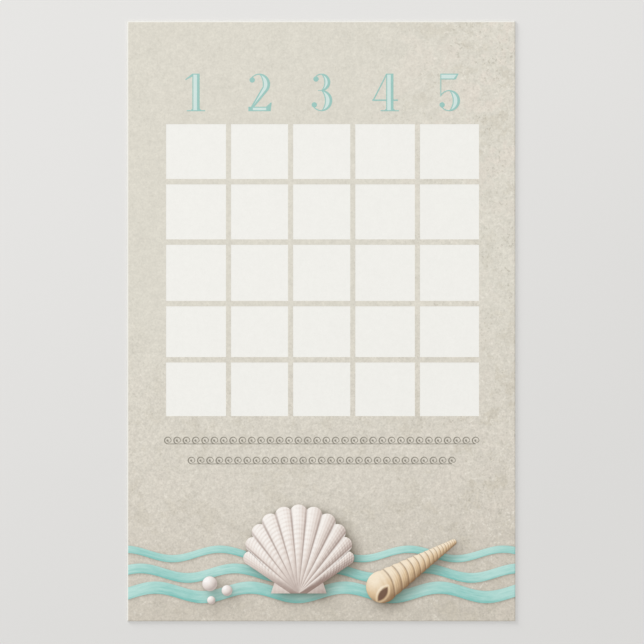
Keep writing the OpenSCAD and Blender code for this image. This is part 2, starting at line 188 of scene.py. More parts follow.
class CardStage(PropertyGroup):
    """Floor, light and camera."""
    floor: ink("Floor", "Table top beyond the card's upper left corner", 228, 227, 225)
    # Painted shade: the table top is painted darker towards the lower right, where the light falls off
    floor_painted_shade: ink("Deep floor", "Table top beyond the card's lower right corner", 222, 221, 219)
    floor_width: length("Floor width", "Side of the square floor", 6000)
    floor_gap: length("Floor gap", "Room under the card, which lies on the table a little loosely", 0.1)
    wall: amount("Wall", "Brightness of the wall that is seen beyond the floor", 0.85)
    sky: amount("Sky", "Share of the light that comes from all around", 0.5)
    roof: amount("Roof", "Share of the light that comes from the wide lamp overhead", 0.32)
    roof_spread: turn("Roof spread", "Angle that the lamp overhead takes up", 50)
    key: amount("Key", "Share of the light that comes from the lamp at the side", 0.175)
    key_distance: length("Key distance", "Distance of the side lamp from the card", 2600)
    key_width: length("Key width", "Side of the square side lamp", 640)
    key_height: turn("Key height", "Height of the side lamp above the table", 13)
    key_side: turn("Key side", "Direction of the side lamp, to the left of the card's upper edge", 45)
    lens: FloatProperty(name="Lens", description="Focal length of the camera", default=85, unit="CAMERA")
    view_width: length("View width", "Width of the view at the card's face", 231.5)
    view_x: length("View x", "Middle of the view, to the right of the card's middle", 0.36)
    view_y: length("View y", "Middle of the view, up from the card's middle", -0.38)


# Meshes

# Shares of a piece's flat map that its margins, its walls and its back take, the last by the kind of piece
MAP_MARGIN_SHARE = 0.008
MAP_WALL_SHARE = 0.03
MAP_BACK_SHARES = {"film": 0.03, "sheet": 0.4}

# A polygon whose normal points further up or down than this is part of a piece's face or back
FACE_NORMAL = 0.5


def add_map(mesh, points, faces, kind):
    """Flat map of a film: its face seen from above takes nearly all of it, its back, turned over, takes a
    strip below that, and each wall lies in a thin strip at the bottom, by its place along the wall and its
    height."""
    up = np.zeros(3 * len(faces), np.float32)
    mesh.polygons.foreach_get("normal", up)
    up = up[2::3, None]
    places = (points[faces] - points.min(0)) / np.ptp(points, axis=0)
    x, y, z = np.moveaxis(places, -1, 0)
    long_x, long_y = np.ptp(points[faces], axis=1)[:, :2].T[:, :, None]
    margin, wall, back = MAP_MARGIN_SHARE, MAP_WALL_SHARE, MAP_BACK_SHARES[kind]
    sides = [up > FACE_NORMAL, up < -FACE_NORMAL]
    across = np.select(sides, [x, 1 - x], np.where(long_x > long_y, x, y))
    starts = np.select(sides, [wall + back + margin, wall + margin], margin)
    ends = np.select(sides, [1 - margin, wall + back], wall)
    height = starts + (ends - starts) * np.select(sides, [y, y], z)
    spots = np.stack([margin + (1 - 2 * margin) * across, height], -1)
    layer = mesh.uv_layers.new(name="OFBake")
    layer.uv.foreach_set("vector", spots.astype(np.float32).ravel())


def new_piece(name, surface, material, replaced, kind="film"):
    """Mesh object of a surface's points and four-cornered faces, flat shaded, with each of its marks kept as
    a value per point."""
    points, faces, marks = surface
    mesh = bpy.data.meshes.new(name)
    mesh.vertices.add(len(points))
    mesh.vertices.foreach_set("co", points.astype(np.float32).ravel())
    mesh.loops.add(faces.size)
    mesh.loops.foreach_set("vertex_index", faces.astype(np.int32).ravel())
    mesh.polygons.add(len(faces))
    mesh.polygons.foreach_set("loop_start", np.arange(0, faces.size, 4, dtype=np.int32))
    mesh.update(calc_edges=True)
    mesh.shade_flat()
    add_map(mesh, points, faces, kind)
    for mark, values in marks.items():
        layer = mesh.attributes.new(mark, "FLOAT", "POINT")
        layer.data.foreach_set("value", values.astype(np.float32).ravel())
    if mesh.validate():
        raise RuntimeError(name + " has faces that don't hold together")
    mesh.materials.append(material)
    piece = bpy.data.objects.new(name, mesh)
    bpy.context.scene.collection.objects.link(piece)
    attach(piece, BODY)
    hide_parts(*replaced)


def film(x, y, foot, top, keep=None, **marks):
    """Closed film over a grid of points that runs anticlockwise, as (points, faces, marks).
    Its face and back are the kept cells at the two heights, and a wall stands on each edge that only one
    kept cell has."""
    count = x.size
    index = np.arange(count).reshape(x.shape)
    cells = np.stack([index[:-1, :-1], index[1:, :-1], index[1:, 1:], index[:-1, 1:]], -1)
    cells = cells.reshape(-1, 4) if keep is None else cells[keep]
    edges = np.stack([cells, np.roll(cells, -1, axis=1)], -1).reshape(-1, 2)
    border = edges[~np.isin(edges @ [count, 1], edges @ [1, count])]
    walls = np.stack([border[:, 0], border[:, 0] + count, border[:, 1] + count, border[:, 1]], -1)
    faces = np.concatenate([cells, cells[:, ::-1] + count, walls])
    used, faces = np.unique(faces, return_inverse=True)
    flat = np.stack([x.ravel(), y.ravel()], -1)
    points = np.concatenate([np.insert(flat, 2, np.ravel(z), axis=1) for z in (top, foot)])
    marks = {mark: np.tile(np.broadcast_to(v, x.shape).ravel(), 2)[used] for mark, v in marks.items()}
    return points[used], faces.reshape(-1, 4), marks


def joined(films):
    """Several films as one set of points, faces and marks."""
    starts = np.cumsum([0] + [len(points) for points, _, _ in films])
    points = np.concatenate([points for points, _, _ in films])
    faces = np.concatenate([faces + start for (_, faces, _), start in zip(films, starts)])
    marks = {mark: np.concatenate([m[mark] for _, _, m in films]) for mark in films[0][2]}
    return points, faces, marks


def spaced(lines, step):
    """The lines with even steps between them, none much wider than the step."""
    parts = [np.linspace(a, b, max(1, round((b - a) / step)) + 1)[:-1] for a, b in zip(lines, lines[1:])]
    return np.concatenate(parts + [lines[-1:]])


def smooth_step(low, high, values):
    """Zero below low, one above high and an even S between them."""
    share = np.clip((values - low) / (high - low), 0, 1)
    return share * share * (3 - 2 * share)


# Printed picture

# Relief of the scallop: places in shares of its reach, heights in shares of the fan's height, and the dome's
# spread as an angle
CROWN_SHARE = 0.42
DOME_END_SHARE = 1.08
DOME_SHARE = 0.2
DOME_LEAST_SHARE = 0.05
DOME_SPREAD = 1.3
RIB_SHARE = 0.034
RIDGE_SHARE = 0.0012
RIDGE_COUNT = 5
RING_SHARE = 0.0022
RING_COUNT = 15
RING_POWER = 1.6
RING_BEND_SHARE = 0.25
RING_START_SHARES = (0.2, 0.6)

# Relief of the turret shell, in shares of its half width, and the count of cords on each whorl
CONE_SHARE = 1.03
CONE_LEAST_SHARE = 0.2
WHORL_RISE_SHARE = 0.16
WHORL_LEAST_SHARE = 0.02
CORD_SHARE = 0.008
CORD_COUNT = 4

# Least half width and least rest of its length with which the turret shell's whorls are counted
TIP_HALF_SHARE = 0.1
TIP_REST_SHARE = 0.02

# Printed shadows: a cell of their plate, the plate's height in shares of the fan's, the share of a shadow's
# drop that goes to the right and down, and how dark the wide, the thin and the stripes' own are
SHADOW_CELL = 0.2 * MM
SHADOW_PLATE_SHARE = 1.3
SHADOW_WAY_SHARE = 0.7
WIDE_SHADOW_SHARE = 0.85
THIN_SHADOW_SHARE = 0.45
STRIPE_SHADOW_SHARE = 0.6


def circles_distance(x, y, middles, radii):
    """Distance from points to the nearest of some circles, negative inside."""
    return np.min(np.hypot(x[..., None] - middles[:, 0], y[..., None] - middles[:, 1]) - radii, axis=-1)


def lamp_light(height, x, y, step):
    """Light of the picture's lamp on a relief: the slopes, by differences over a step, give the surface's
    normal, and the cosine between that and the lamp, eased so that the far side keeps some light, is the
    light."""
    slope_x = (height(x + step, y) - height(x - step, y)) / (2 * step)
    slope_y = (height(x, y + step) - height(x, y - step)) / (2 * step)
    size = np.sqrt(slope_x ** 2 + slope_y ** 2 + 1)
    across, up, out = PICTURE_LAMP
    return ((1 + (out - across * slope_x - up * slope_y) / size) / 2) ** LIGHT_POWER


class Picture:
    """Shapes of the printed picture, from the frame's boxes and the sizes of the sheet and the picture."""

    def __init__(self, scene):
        self.sizes = sizes = scene.card_picture
        sheet = scene.card_sheet
        self.card_low, self.card_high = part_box("card_stock")
        self.print_z = [corner.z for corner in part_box("ground_print")]
        self.near_rim, self.far_rim, self.rim_drop = sheet.near_rim, sheet.far_rim, sheet.rim_drop
        self.print_low = Vector((self.card_low.x + sheet.near_rim, self.card_low.y))
        self.print_high = Vector((self.card_high.x, self.card_high.y - sheet.near_rim))
        hinge_low, hinge_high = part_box("scallop_hinge")
        fan_low, fan_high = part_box("scallop_fan")
        self.foot_z, self.top_z = fan_low.z, fan_high.z
        self.hinge = np.array([(hinge_low.x + hinge_high.x) / 2, hinge_low.y])
        self.hinge_half = (hinge_high.x - hinge_low.x) / 2
        self.fan_height = fan_high.y - fan_low.y
        self.rib_turn = 2 * sizes.fan_spread / (RIB_COUNT - 1)
        self.rib_turns = self.rib_turn * np.arange(RIB_COUNT) - sizes.fan_spread
        self.lobe_radii = LOBE_SHARE * self.fan_reach(self.rib_turns) * sin(self.rib_turn / 2)
        reach = (self.fan_reach(self.rib_turns) - self.lobe_radii)[:, None]
        self.lobe_middles = reach * np.stack([np.sin(self.rib_turns), np.cos(self.rib_turns)], -1)
        steps = WHORL_SHRINK_SHARE ** np.arange(WHORL_COUNT)
        self.whorl_radii = sizes.whorl * steps
        self.whorl_places = sizes.whorl * WHORL_STEP_SHARE * (1 - steps) / (1 - WHORL_SHRINK_SHARE)
        foot = self.card_low.y
        self.turret = np.array([self.card_high.x - sizes.turret_inset, foot + sizes.turret_rise])
        pearl = np.array([self.card_low.x + sizes.pearl_inset, foot + sizes.pearl_rise])
        self.pearl_radii = sizes.pearl * PEARL_SIZE_SHARES
        self.pearl_middles = pearl + sizes.pearl * PEARL_PLACE_SHARES

    def drop(self, x, y):
        """How far the face has sunk at a point: nothing inside the rims, and over each rim a power of the
        share of it that lies inwards of the point."""
        near = np.minimum(x - self.card_low.x, self.card_high.y - y) / self.near_rim
        far = np.minimum(self.card_high.x - x, y - self.card_low.y) / self.far_rim
        return self.rim_drop * np.clip(1 - np.minimum(near, far), 0, 1) ** RIM_POWER

    def sunk(self, x, y, levels):
        """Levels at points of the face, lower over the rims by its drop."""
        return [level - self.drop(x, y) for level in levels]

    def shell_film(self, x, y, light, hollow, lift=SHELL_LIFT):
        """Film of a shell or a part of one, which stands proud of the other prints by the lift."""
        return film(x, y, self.foot_z, self.top_z + lift, light=light, hollow=hollow)

    def far_lines(self):
        """Distances from a far edge of the grid lines over its rim, from the edge inwards."""
        return np.linspace(0, self.far_rim, RIM_LINES)

    def stripe_middle(self, i, x):
        """Height of a stripe's middle line: even steps up the card, with a sine of the crest's rise."""
        phase = 2 * pi * (x / self.sizes.stripe_wave + STRIPE_SHIFT_SHARES[i])
        level = self.card_low.y + self.sizes.stripe_rise + self.sizes.stripe_step * i
        return level + self.sizes.stripe_crest * np.sin(phase)

    def stripe_half(self, i):
        """Half the width of a stripe."""
        return self.sizes.stripe_width * STRIPE_WIDTH_SHARES[i] / 2

    def fan_reach(self, angle):
        """Reach of the fan at an angle from its middle: a fixed part and one that falls with the cosine."""
        return self.fan_height * (FAN_SIDE_SHARE + (1 - FAN_SIDE_SHARE) * np.cos(angle))

    def shoulder(self):
        """Where the fan's right side, a line from the end of its throat, touches the end rib."""
        radius = self.lobe_radii[-1]
        way = self.lobe_middles[-1] - [self.sizes.throat / 2, 0]
        bearing = atan2(way[1], way[0]) - asin(radius / np.hypot(*way)) - pi / 2
        return self.lobe_middles[-1] + radius * np.array([cos(bearing), sin(bearing)])

    def fan_margin(self, steps):
        """Outline of the ribs' rounded ends from left to right: an arc of each rib's circle, from the notch
        where it meets the circle before it to the notch where it meets the next one."""
        way = np.diff(self.lobe_middles, axis=0)
        gap = np.linalg.norm(way, axis=1, keepdims=True)
        near, far = self.lobe_radii[:-1, None], self.lobe_radii[1:, None]
        along = (gap ** 2 + near ** 2 - far ** 2) / (2 * gap)
        aside = np.sqrt(near ** 2 - along ** 2)
        notches = self.lobe_middles[:-1] + (along * way + aside * way[:, ::-1] * [-1, 1]) / gap
        right = self.shoulder()
        corners = np.concatenate([[right * [-1, 1]], notches, [right]])
        first, last = corners[:-1] - self.lobe_middles, corners[1:] - self.lobe_middles
        start, end = np.arctan2(*first.T), np.arctan2(*last.T)
        turns = start[:, None] + ((end - start) % (2 * pi))[:, None] * np.arange(steps) / steps
        arcs = self.lobe_radii[:, None, None] * np.stack([np.sin(turns), np.cos(turns)], -1)
        return np.concatenate([(self.lobe_middles[:, None] + arcs).reshape(-1, 2), [right]])

    def ear_corners(self):
        """Corners of the right ear: the throat's end, the hinge's end and where its outer edge meets the
        fan."""
        throat, tip = np.array([self.sizes.throat / 2, 0]), np.array([self.hinge_half, 0])
        edge = np.array([(EAR_TOP_SHARE - 1) * self.hinge_half, self.sizes.ear])
        side = self.shoulder() - throat
        share = np.linalg.solve(np.stack([edge, -side], -1), throat - tip)[0]
        return throat, tip, tip + share * edge

    def scallop_distance(self, x, y):
        """Distance to the scallop, negative inside: the nearest of its rib ends, its fan and its ears."""
        x, y = np.abs(x - self.hinge[0]), y - self.hinge[1]
        lobes = circles_distance(x, y, self.lobe_middles, self.lobe_radii)
        throat, tip, top = self.ear_corners()

        def beside(start, end):
            """Distance to the right of the line from start to end."""
            way = (end - start) / np.hypot(*(end - start))
            return (x - start[0]) * way[1] - (y - start[1]) * way[0]

        angle = np.arctan2(x, y)
        fan = np.maximum(np.hypot(x, y) - self.fan_reach(angle) * cos(self.rib_turn / 2), -y)
        fan = np.maximum(fan, beside(throat, self.shoulder()))
        ear = np.maximum(np.maximum(beside(tip, top), y - top[1]), -y)
        return np.minimum(np.minimum(lobes, fan), ear)

    def scallop_height(self, x, y):
        """Relief of the scallop at points from its hinge: a dome that rises from the hinge and falls to the
        margin, rounded ribs that grow with the reach, fine ridges on them and rings of growth."""
        angle = np.arctan2(x, y)
        share = np.hypot(x, y) / self.fan_reach(angle)
        rib = angle / self.rib_turn
        across = 2 * (rib - np.clip(np.round(rib), -(RIB_COUNT // 2), RIB_COUNT // 2))
        inner = (CROWN_SHARE - share) / CROWN_SHARE
        outer = (share - CROWN_SHARE) / (DOME_END_SHARE - CROWN_SHARE)
        fall = np.where(share < CROWN_SHARE, inner, outer)
        flank = np.sqrt(np.clip(1 - (angle / DOME_SPREAD) ** 2, DOME_LEAST_SHARE, 1))
        dome = DOME_SHARE * (1 - fall ** 2) * flank
        ribs = RIB_SHARE * share * (1 - across ** 2)
        ridges = RIDGE_SHARE * share * np.cos(RIDGE_COUNT * pi * across)
        phase = 2 * pi * (RING_COUNT * share ** RING_POWER + RING_BEND_SHARE * across ** 2)
        rings = RING_SHARE * np.sin(phase) * smooth_step(*RING_START_SHARES, share)
        return self.fan_height * (dome + ribs + ridges + rings)

    def turret_frame(self, x, y):
        """Points as places along and across the turret shell's line."""
        slope = self.sizes.turret_slope
        x, y = x - self.turret[0], y - self.turret[1]
        return x * cos(slope) + y * sin(slope), y * cos(slope) - x * sin(slope)

    def turret_distance(self, x, y):
        """Distance to the turret shell, negative inside: its whorls are circles along its line."""
        along, across = self.turret_frame(x, y)
        middles = np.stack([self.whorl_places, np.zeros(WHORL_COUNT)], -1)
        return circles_distance(along, across, middles, self.whorl_radii)

    def cone_half(self, along):
        """Half width of the plain cone that the whorls follow, round at its large end."""
        whorl = self.sizes.whorl
        taper = WHORL_STEP_SHARE / (1 - WHORL_SHRINK_SHARE)
        return np.where(along < 0, np.sqrt(np.clip(whorl ** 2 - along ** 2, 0, None)), whorl - along / taper)

    def whorl_number(self, along, across):
        """Count of whorls up to a point, whole on the lines between them. These lines lean, bulge towards the
        tip and lie closer together as the whorls shrink."""
        whorl, shrink = self.sizes.whorl, WHORL_SHRINK_SHARE
        lean = self.sizes.suture_lean
        half = np.clip(self.cone_half(along), TIP_HALF_SHARE * whorl, None)
        bulge = self.sizes.suture_bulge * half / whorl * (1 - (across / half) ** 2)
        place = along * cos(lean) + across * sin(lean) - bulge
        reach = WHORL_STEP_SHARE / (1 - shrink)
        notch = (WHORL_STEP_SHARE ** 2 + 1 - shrink ** 2) / (2 * WHORL_STEP_SHARE)
        rest = np.clip((reach - place / whorl) / (reach - notch), TIP_REST_SHARE, None)
        return np.log(rest) / np.log(shrink)

    def suture_distance(self, along, across):
        """Distance along the shell to the nearest line between two whorls, from the first line on."""
        number = self.whorl_number(along, across)
        step = WHORL_STEP_SHARE * self.cone_half(along)
        return np.abs(number - np.clip(np.round(number), 0, WHORL_COUNT - 2)) * step

    def mouth_distance(self, along, across):
        """Distance to the mouth, negative inside: the lens where two equal circles overlap."""
        sizes = self.sizes
        along = along - sizes.whorl * MOUTH_PLACE_SHARES[0]
        across = across - sizes.whorl * MOUTH_PLACE_SHARES[1]
        lean, half = sizes.mouth_lean, sizes.mouth_width / 2
        along, across = along * cos(lean) + across * sin(lean), across * cos(lean) - along * sin(lean)
        radius = (sizes.mouth_length ** 2 / 4 + half ** 2) / (2 * half)
        return np.hypot(along, np.abs(across) + radius - half) - radius

    def turret_height(self, x, y):
        """Relief of the turret shell: a round cone, a rounded whorl between each two lines, of which the
        first has only its far half, and fine cords that run along the whorls."""
        along, across = self.turret_frame(x, y)
        half = self.cone_half(along)
        number = self.whorl_number(along, across)
        share = np.where(number < 0, (1 + np.clip(1 + number, 0, 1)) / 2, number - np.floor(number))
        round_whorl = np.sqrt(np.clip(1 - (2 * share - 1) ** 2, WHORL_LEAST_SHARE, 1))
        cords = np.cos(2 * pi * CORD_COUNT * share)
        cone = np.sqrt(np.clip((CONE_SHARE * half) ** 2 - across ** 2, (CONE_LEAST_SHARE * half) ** 2, None))
        return cone + half * (WHORL_RISE_SHARE * round_whorl + CORD_SHARE * cords)

    def pearl_distance(self, x, y):
        """Distance to the nearest pearl, negative inside."""
        return circles_distance(x, y, self.pearl_middles, self.pearl_radii)

    def shell_distance(self, x, y):
        """Distance to the nearest shell or pearl, negative inside."""
        shells = np.minimum(self.scallop_distance(x, y), self.turret_distance(x, y))
        return np.minimum(shells, self.pearl_distance(x, y))

    def stripe_distance(self, x, y):
        """Distance up or down to the nearest stripe, negative inside."""
        gaps = [np.abs(y - self.stripe_middle(i, x)) - self.stripe_half(i) for i in range(len(STRIPES))]
        return np.min(gaps, axis=0)

    def shadow(self, distance, drop, blur):
        """Soft shadow of a shape, as a function of points: one inside the shape, on a plate of small cells,
        spread by a Gaussian among the plate's frequencies, moved to the lower right and read between
        cells."""
        cell = SHADOW_CELL
        low = np.array([self.card_low.x, self.card_low.y])
        high = np.array([self.card_high.x, self.hinge[1] + SHADOW_PLATE_SHARE * self.fan_height])
        spots = [start + cell * np.arange(int(side / cell)) for start, side in zip(low, high - low)]
        covered = np.clip(0.5 - distance(*np.meshgrid(*spots, indexing="ij")) / cell, 0, 1)
        rates = [np.fft.fftfreq(count, cell) for count in covered.shape]
        spread = np.exp(-2 * (pi * blur) ** 2 * (rates[0][:, None] ** 2 + rates[1] ** 2))
        plate = np.fft.ifft2(np.fft.fft2(covered) * spread).real
        last = np.array(plate.shape) - 1
        way = SHADOW_WAY_SHARE * drop * np.array([1, -1])

        def read(x, y):
            """The plate at points, as a mean of the four cells around each by their nearness."""
            place = np.clip((np.stack([x, y], -1) - low - way) / cell, 0, last)
            cells = np.minimum(place.astype(int), last - 1)
            i, j = cells[..., 0], cells[..., 1]
            s, t = np.moveaxis(place - cells, -1, 0)
            left = plate[i, j] * (1 - t) + plate[i, j + 1] * t
            right = plate[i + 1, j] * (1 - t) + plate[i + 1, j + 1] * t
            return left * (1 - s) + right * s

        return read

    def shell_shadow(self):
        """Shadow under the shells: a wide soft one and a thin one along their edges."""
        wide = self.shadow(self.shell_distance, self.sizes.shadow_drop, self.sizes.shadow_blur)
        thin = self.shadow(self.shell_distance, self.sizes.edge_drop, self.sizes.edge_blur)
        return lambda x, y: 1 - (1 - WIDE_SHADOW_SHARE * wide(x, y)) * (1 - THIN_SHADOW_SHARE * thin(x, y))

    def ground_shadow(self):
        """Shadow on the ground print: that of the shells and a thin one under the stripes."""
        shells = self.shell_shadow()
        thin = self.shadow(self.stripe_distance, self.sizes.edge_drop, self.sizes.edge_blur)
        return lambda x, y: 1 - (1 - shells(x, y)) * (1 - STRIPE_SHADOW_SHARE * thin(x, y))


# Shaders

# Sockets of the Mix node that its colours use: the share, the two colours and the result
MIX_SHARE, MIX_FIRST, MIX_SECOND, MIX_RESULT = 0, 6, 7, 2

# A noise lies evenly around this
NOISE_MIDDLE = 0.5

# A noise, by its features per metre, its seed, its finer layers and their strength
Noise = namedtuple("Noise", "scale seed detail rough", defaults=(2.0, 0.5))

# A grain in a print, by its features per metre, its seed and its strength, or its least and most strength
Grain = namedtuple("Grain", "scale seed strength")


def linear(colour):
    """A colour as it is seen, as the light it stands for, with full alpha."""
    return (*Color(colour).from_srgb_to_scene_linear(), 1.0)


class Nodes:
    """Adds nodes to a shader tree. Each call that makes a value returns an output of its node."""

    def __init__(self, tree):
        self.tree = tree

    def add(self, kind, inputs=None, output=0, **settings):
        """Node with its settings, whose inputs are sockets to link or values to set."""
        node = self.tree.nodes.new(kind)
        for setting, value in settings.items():
            setattr(node, setting, value)
        for socket, value in (inputs or {}).items():
            if isinstance(value, bpy.types.NodeSocket):
                self.tree.links.new(value, node.inputs[socket])
            else:
                node.inputs[socket].default_value = value
        return node.outputs[output] if node.outputs else None

    def place(self):
        """Object coordinates."""
        return self.add("ShaderNodeTexCoord", output="Object")

    def axes(self):
        """Object coordinates as three numbers."""
        return self.add("ShaderNodeSeparateXYZ", {0: self.place()}).node.outputs[:]

    def mark(self, name):
        """A value kept on the piece's points."""
        return self.add("ShaderNodeAttribute", output="Fac", attribute_name=name)

    def noise(self, place, noise):
        """A noise at a place."""
        scale, seed, detail, rough = noise
        inputs = {"Vector": place, "W": seed, "Scale": scale, "Detail": detail, "Roughness": rough}
        return self.add("ShaderNodeTexNoise", inputs, noise_dimensions="4D")

    def math(self, operation, first, second, third=0.0):
        """Two or three numbers put together."""
        return self.add("ShaderNodeMath", {0: first, 1: second, 2: third}, operation=operation)

    def times(self, first, second, plus=0.0):
        """Two numbers multiplied, plus a third."""
        return self.math("MULTIPLY_ADD", first, second, plus)

    def swing(self, noise, strength, start):
        """A number that a noise moves up and down by a strength."""
        return self.times(self.math("SUBTRACT", noise, NOISE_MIDDLE), strength, start)

    def spread(self, value, low, high, to_low=0.0, to_high=1.0, kind="SMOOTHSTEP"):
        """A value eased from one range to another, and held at its ends."""
        inputs = {"Value": value, "From Min": low, "From Max": high, "To Min": to_low, "To Max": to_high}
        return self.add("ShaderNodeMapRange", inputs, interpolation_type=kind)

    def mix(self, share, first, second, blend="MIX"):
        """Two colours put together."""
        inputs = {MIX_SHARE: share, MIX_FIRST: first, MIX_SECOND: second}
        return self.add("ShaderNodeMix", inputs, MIX_RESULT, data_type="RGBA", blend_type=blend)

    def ramp(self, value, places, colours):
        """Colour at a value, between stops at some places."""
        output = self.add("ShaderNodeValToRGB", {0: value})
        elements = output.node.color_ramp.elements
        for place in places[2:]:
            elements.new(place)
        for element, place, colour in zip(elements, places, colours):
            element.position = place
            element.color = linear(colour)
        return output

    def group(self, tree, output=0, **inputs):
        """A shared group with its own values."""
        return self.add("ShaderNodeGroup", inputs, output, node_tree=tree)

    def surface(self, inputs):
        """The material's surface, of a shader with some inputs."""
        self.add("ShaderNodeOutputMaterial", {"Surface": self.add("ShaderNodeBsdfPrincipled", inputs)})


def new_group(name, inputs, outputs):
    """Empty node group with named sockets, as its nodes, its input's sockets and its output's."""
    tree = bpy.data.node_groups.new(name, "ShaderNodeTree")
    for direction, sockets in (("INPUT", inputs), ("OUTPUT", outputs)):
        for socket, kind in sockets.items():
            tree.interface.new_socket(socket, in_out=direction, socket_type="NodeSocket" + kind)
    nodes = Nodes(tree)
    entry = nodes.add("NodeGroupInput").node
    leave = tree.nodes.new("NodeGroupOutput")
    return nodes, entry.outputs, leave.inputs


def shared_group(name, build):
    """The group of that name, built once."""
    return bpy.data.node_groups.get(name) or build(name)


# Eggshell tooth: seeds of its bumps and fibres, how much finer and how strong the fibres are, and the range
# of its heights and of the roughness that follows them
TOOTH_SEEDS = (1, 2)
FIBRE_TIMES = 3.3
FIBRE_SHARE = 0.35
TOOTH_HEIGHTS = (0.4, 1.0)
TOOTH_ROUGHNESS = (0.74, 0.9)
PAPER_GLOSS = 0.2


def build_tooth(name):
    """Eggshell tooth of the paper: soft bumps with finer fibres on them, and a roughness that follows
    both."""
    nodes, entry, leave = new_group(name, {"Scale": "Float"}, {"Height": "Float", "Roughness": "Float"})
    place = nodes.place()
    bump_seed, fibre_seed = TOOTH_SEEDS
    bumps = nodes.noise(place, Noise(entry["Scale"], bump_seed, detail=1))
    fibres = nodes.noise(place, Noise(nodes.times(entry["Scale"], FIBRE_TIMES), fibre_seed))
    height = nodes.times(fibres, FIBRE_SHARE, bumps)
    nodes.tree.links.new(height, leave["Height"])
    nodes.tree.links.new(nodes.spread(height, *TOOTH_HEIGHTS, *TOOTH_ROUGHNESS), leave["Roughness"])
    return nodes.tree


def build_grain(name):
    """Grain in a print: the colour times one plus a noise of one scale, by a strength that may vary."""
    inputs = {"Colour": "Color", "Scale": "Float", "Seed": "Float", "Strength": "Float"}
    nodes, entry, leave = new_group(name, inputs, {"Colour": "Color"})
    noise = nodes.noise(nodes.place(), Noise(entry["Scale"], entry["Seed"]))
    swing = nodes.swing(noise, entry["Strength"], 1.0)
    nodes.tree.links.new(nodes.mix(1.0, entry["Colour"], swing, "MULTIPLY"), leave["Colour"])
    return nodes.tree


def build_shadow(name):
    """Printed shadow: the colour times the shadow's ink, by the shade kept on the piece's points."""
    nodes, entry, leave = new_group(name, {"Colour": "Color", "Ink": "Color"}, {"Colour": "Color"})
    shaded = nodes.mix(nodes.mark("shade"), entry["Colour"], entry["Ink"], "MULTIPLY")
    nodes.tree.links.new(shaded, leave["Colour"])
    return nodes.tree


def grained(nodes, colour, *grains):
    """The colour with some grains, one after another."""
    group = shared_group("print_grain", build_grain)
    for scale, seed, strength in grains:
        colour = nodes.group(group, Colour=colour, Scale=scale, Seed=seed, Strength=strength)
    return colour


def shadowed(nodes, colour, ink):
    """The colour under the printed shadows."""
    return nodes.group(shared_group("printed_shadow", build_shadow), Colour=colour, Ink=linear(ink))


def new_material(name):
    """Empty material and its nodes."""
    material = bpy.data.materials.new(name)
    material.use_nodes = True
    material.node_tree.nodes.clear()
    return material, Nodes(material.node_tree)


def finish_paper(nodes, colour, sheet):
    """Paper or ink of a colour: the eggshell tooth drives its roughness and its bumps."""
    tooth = nodes.group(shared_group("paper_tooth", build_tooth), Scale=1 / sheet.tooth).node.outputs
    bump = nodes.add("ShaderNodeBump", {"Distance": sheet.tooth_depth, "Height": tooth["Height"]})
    nodes.surface({
        "Base Color": colour, "Roughness": tooth["Roughness"],
        "Specular IOR Level": PAPER_GLOSS, "Normal": bump,
    })


# Bare stock: the shares of a rim's drop over which its core comes in, from the face and from the back
CORE_FACE_SHARE = 0.5
CORE_BACK_SHARE = 0.125
STOCK_GRAINS = (Grain(1900, 3, 0.07), Grain(650, 4, 0.05), Grain(220, 21, 0.03))


def stock_material(colours, sheet, back, face):
    """Bare card stock: nearly even, with a faint cloudiness, fine fibres and a raw core at its cut edge."""
    material, nodes = new_material("bare_stock")
    height = nodes.axes()[2]
    below_face = nodes.spread(height, face, face - CORE_FACE_SHARE * sheet.rim_drop)
    above_back = nodes.spread(height, back, back + CORE_BACK_SHARE * sheet.rim_drop)
    cut = nodes.math("MINIMUM", below_face, above_back)
    colour = nodes.mix(cut, linear(colours.stock), linear(colours.core))
    finish_paper(nodes, grained(nodes, colour, *STOCK_GRAINS), sheet)
    return material


# Sand print: the stops of its colours down the card, how much deeper the right side is, and the heights, from
# the card's middle, between which its lower part and its top come in
SAND_STOP_SHARES = (0, 0.5, 0.82, 1)
SAND_RIGHT_SHARE = 0.06
SAND_LOW = (20 * MM, -45 * MM)
SAND_TOP = (25 * MM, 70 * MM)

# Wear of the sand print low down and at the right, and how much coarser its grain is at the right
WEAR_LOW_SHARE = 0.35
WEAR_RIGHT_SHARE = 0.75
COARSE_RIGHT_SHARE = 0.5

# Patches: their noise, where it makes them warm or dull, their strengths where the print is fresh and worn,
# and the shares of the warm ones away from the top and of the dull ones everywhere, low down and at the top
PATCH_NOISE = Noise(80, 5, 8, 0.75)
WARM_LIMITS = (0.49, 0.57)
DULL_LIMITS = (0.49, 0.42)
PATCH_STRENGTHS = (0.03, 0.5)
WARM_SHARE = 0.35
DULL_SHARE = 0.55
DULL_LOW_SHARE = 0.7
DULL_TOP_SHARE = 0.45

# Specks and flecks: the noise that crowds them and the share of them that lies outside the crowds, then of
# each the ink, its noise, where that makes a dot, where the dots crowd and their strengths, fresh and worn
CROWD_NOISE = Noise(90, 8, 4, 0.6)
STRAY_SHARE = 0.25
Dots = namedtuple("Dots", "ink noise limits crowd strengths")
SAND_DOTS = (
    Dots("speck", Noise(1000, 7, 2, 0.6), (0.56, 0.66), (0.46, 0.58), (0.15, 0.7)),
    Dots("fleck", Noise(750, 19, 3, 0.7), (0.54, 0.64), (0.54, 0.42), (0.1, 0.8)),
)
SAND_GRAINS = (Grain(1500, 9, (0.25, 0.47)), Grain(600, 10, (0.2, 0.3)), Grain(160, 22, (0.08, 0.1)))


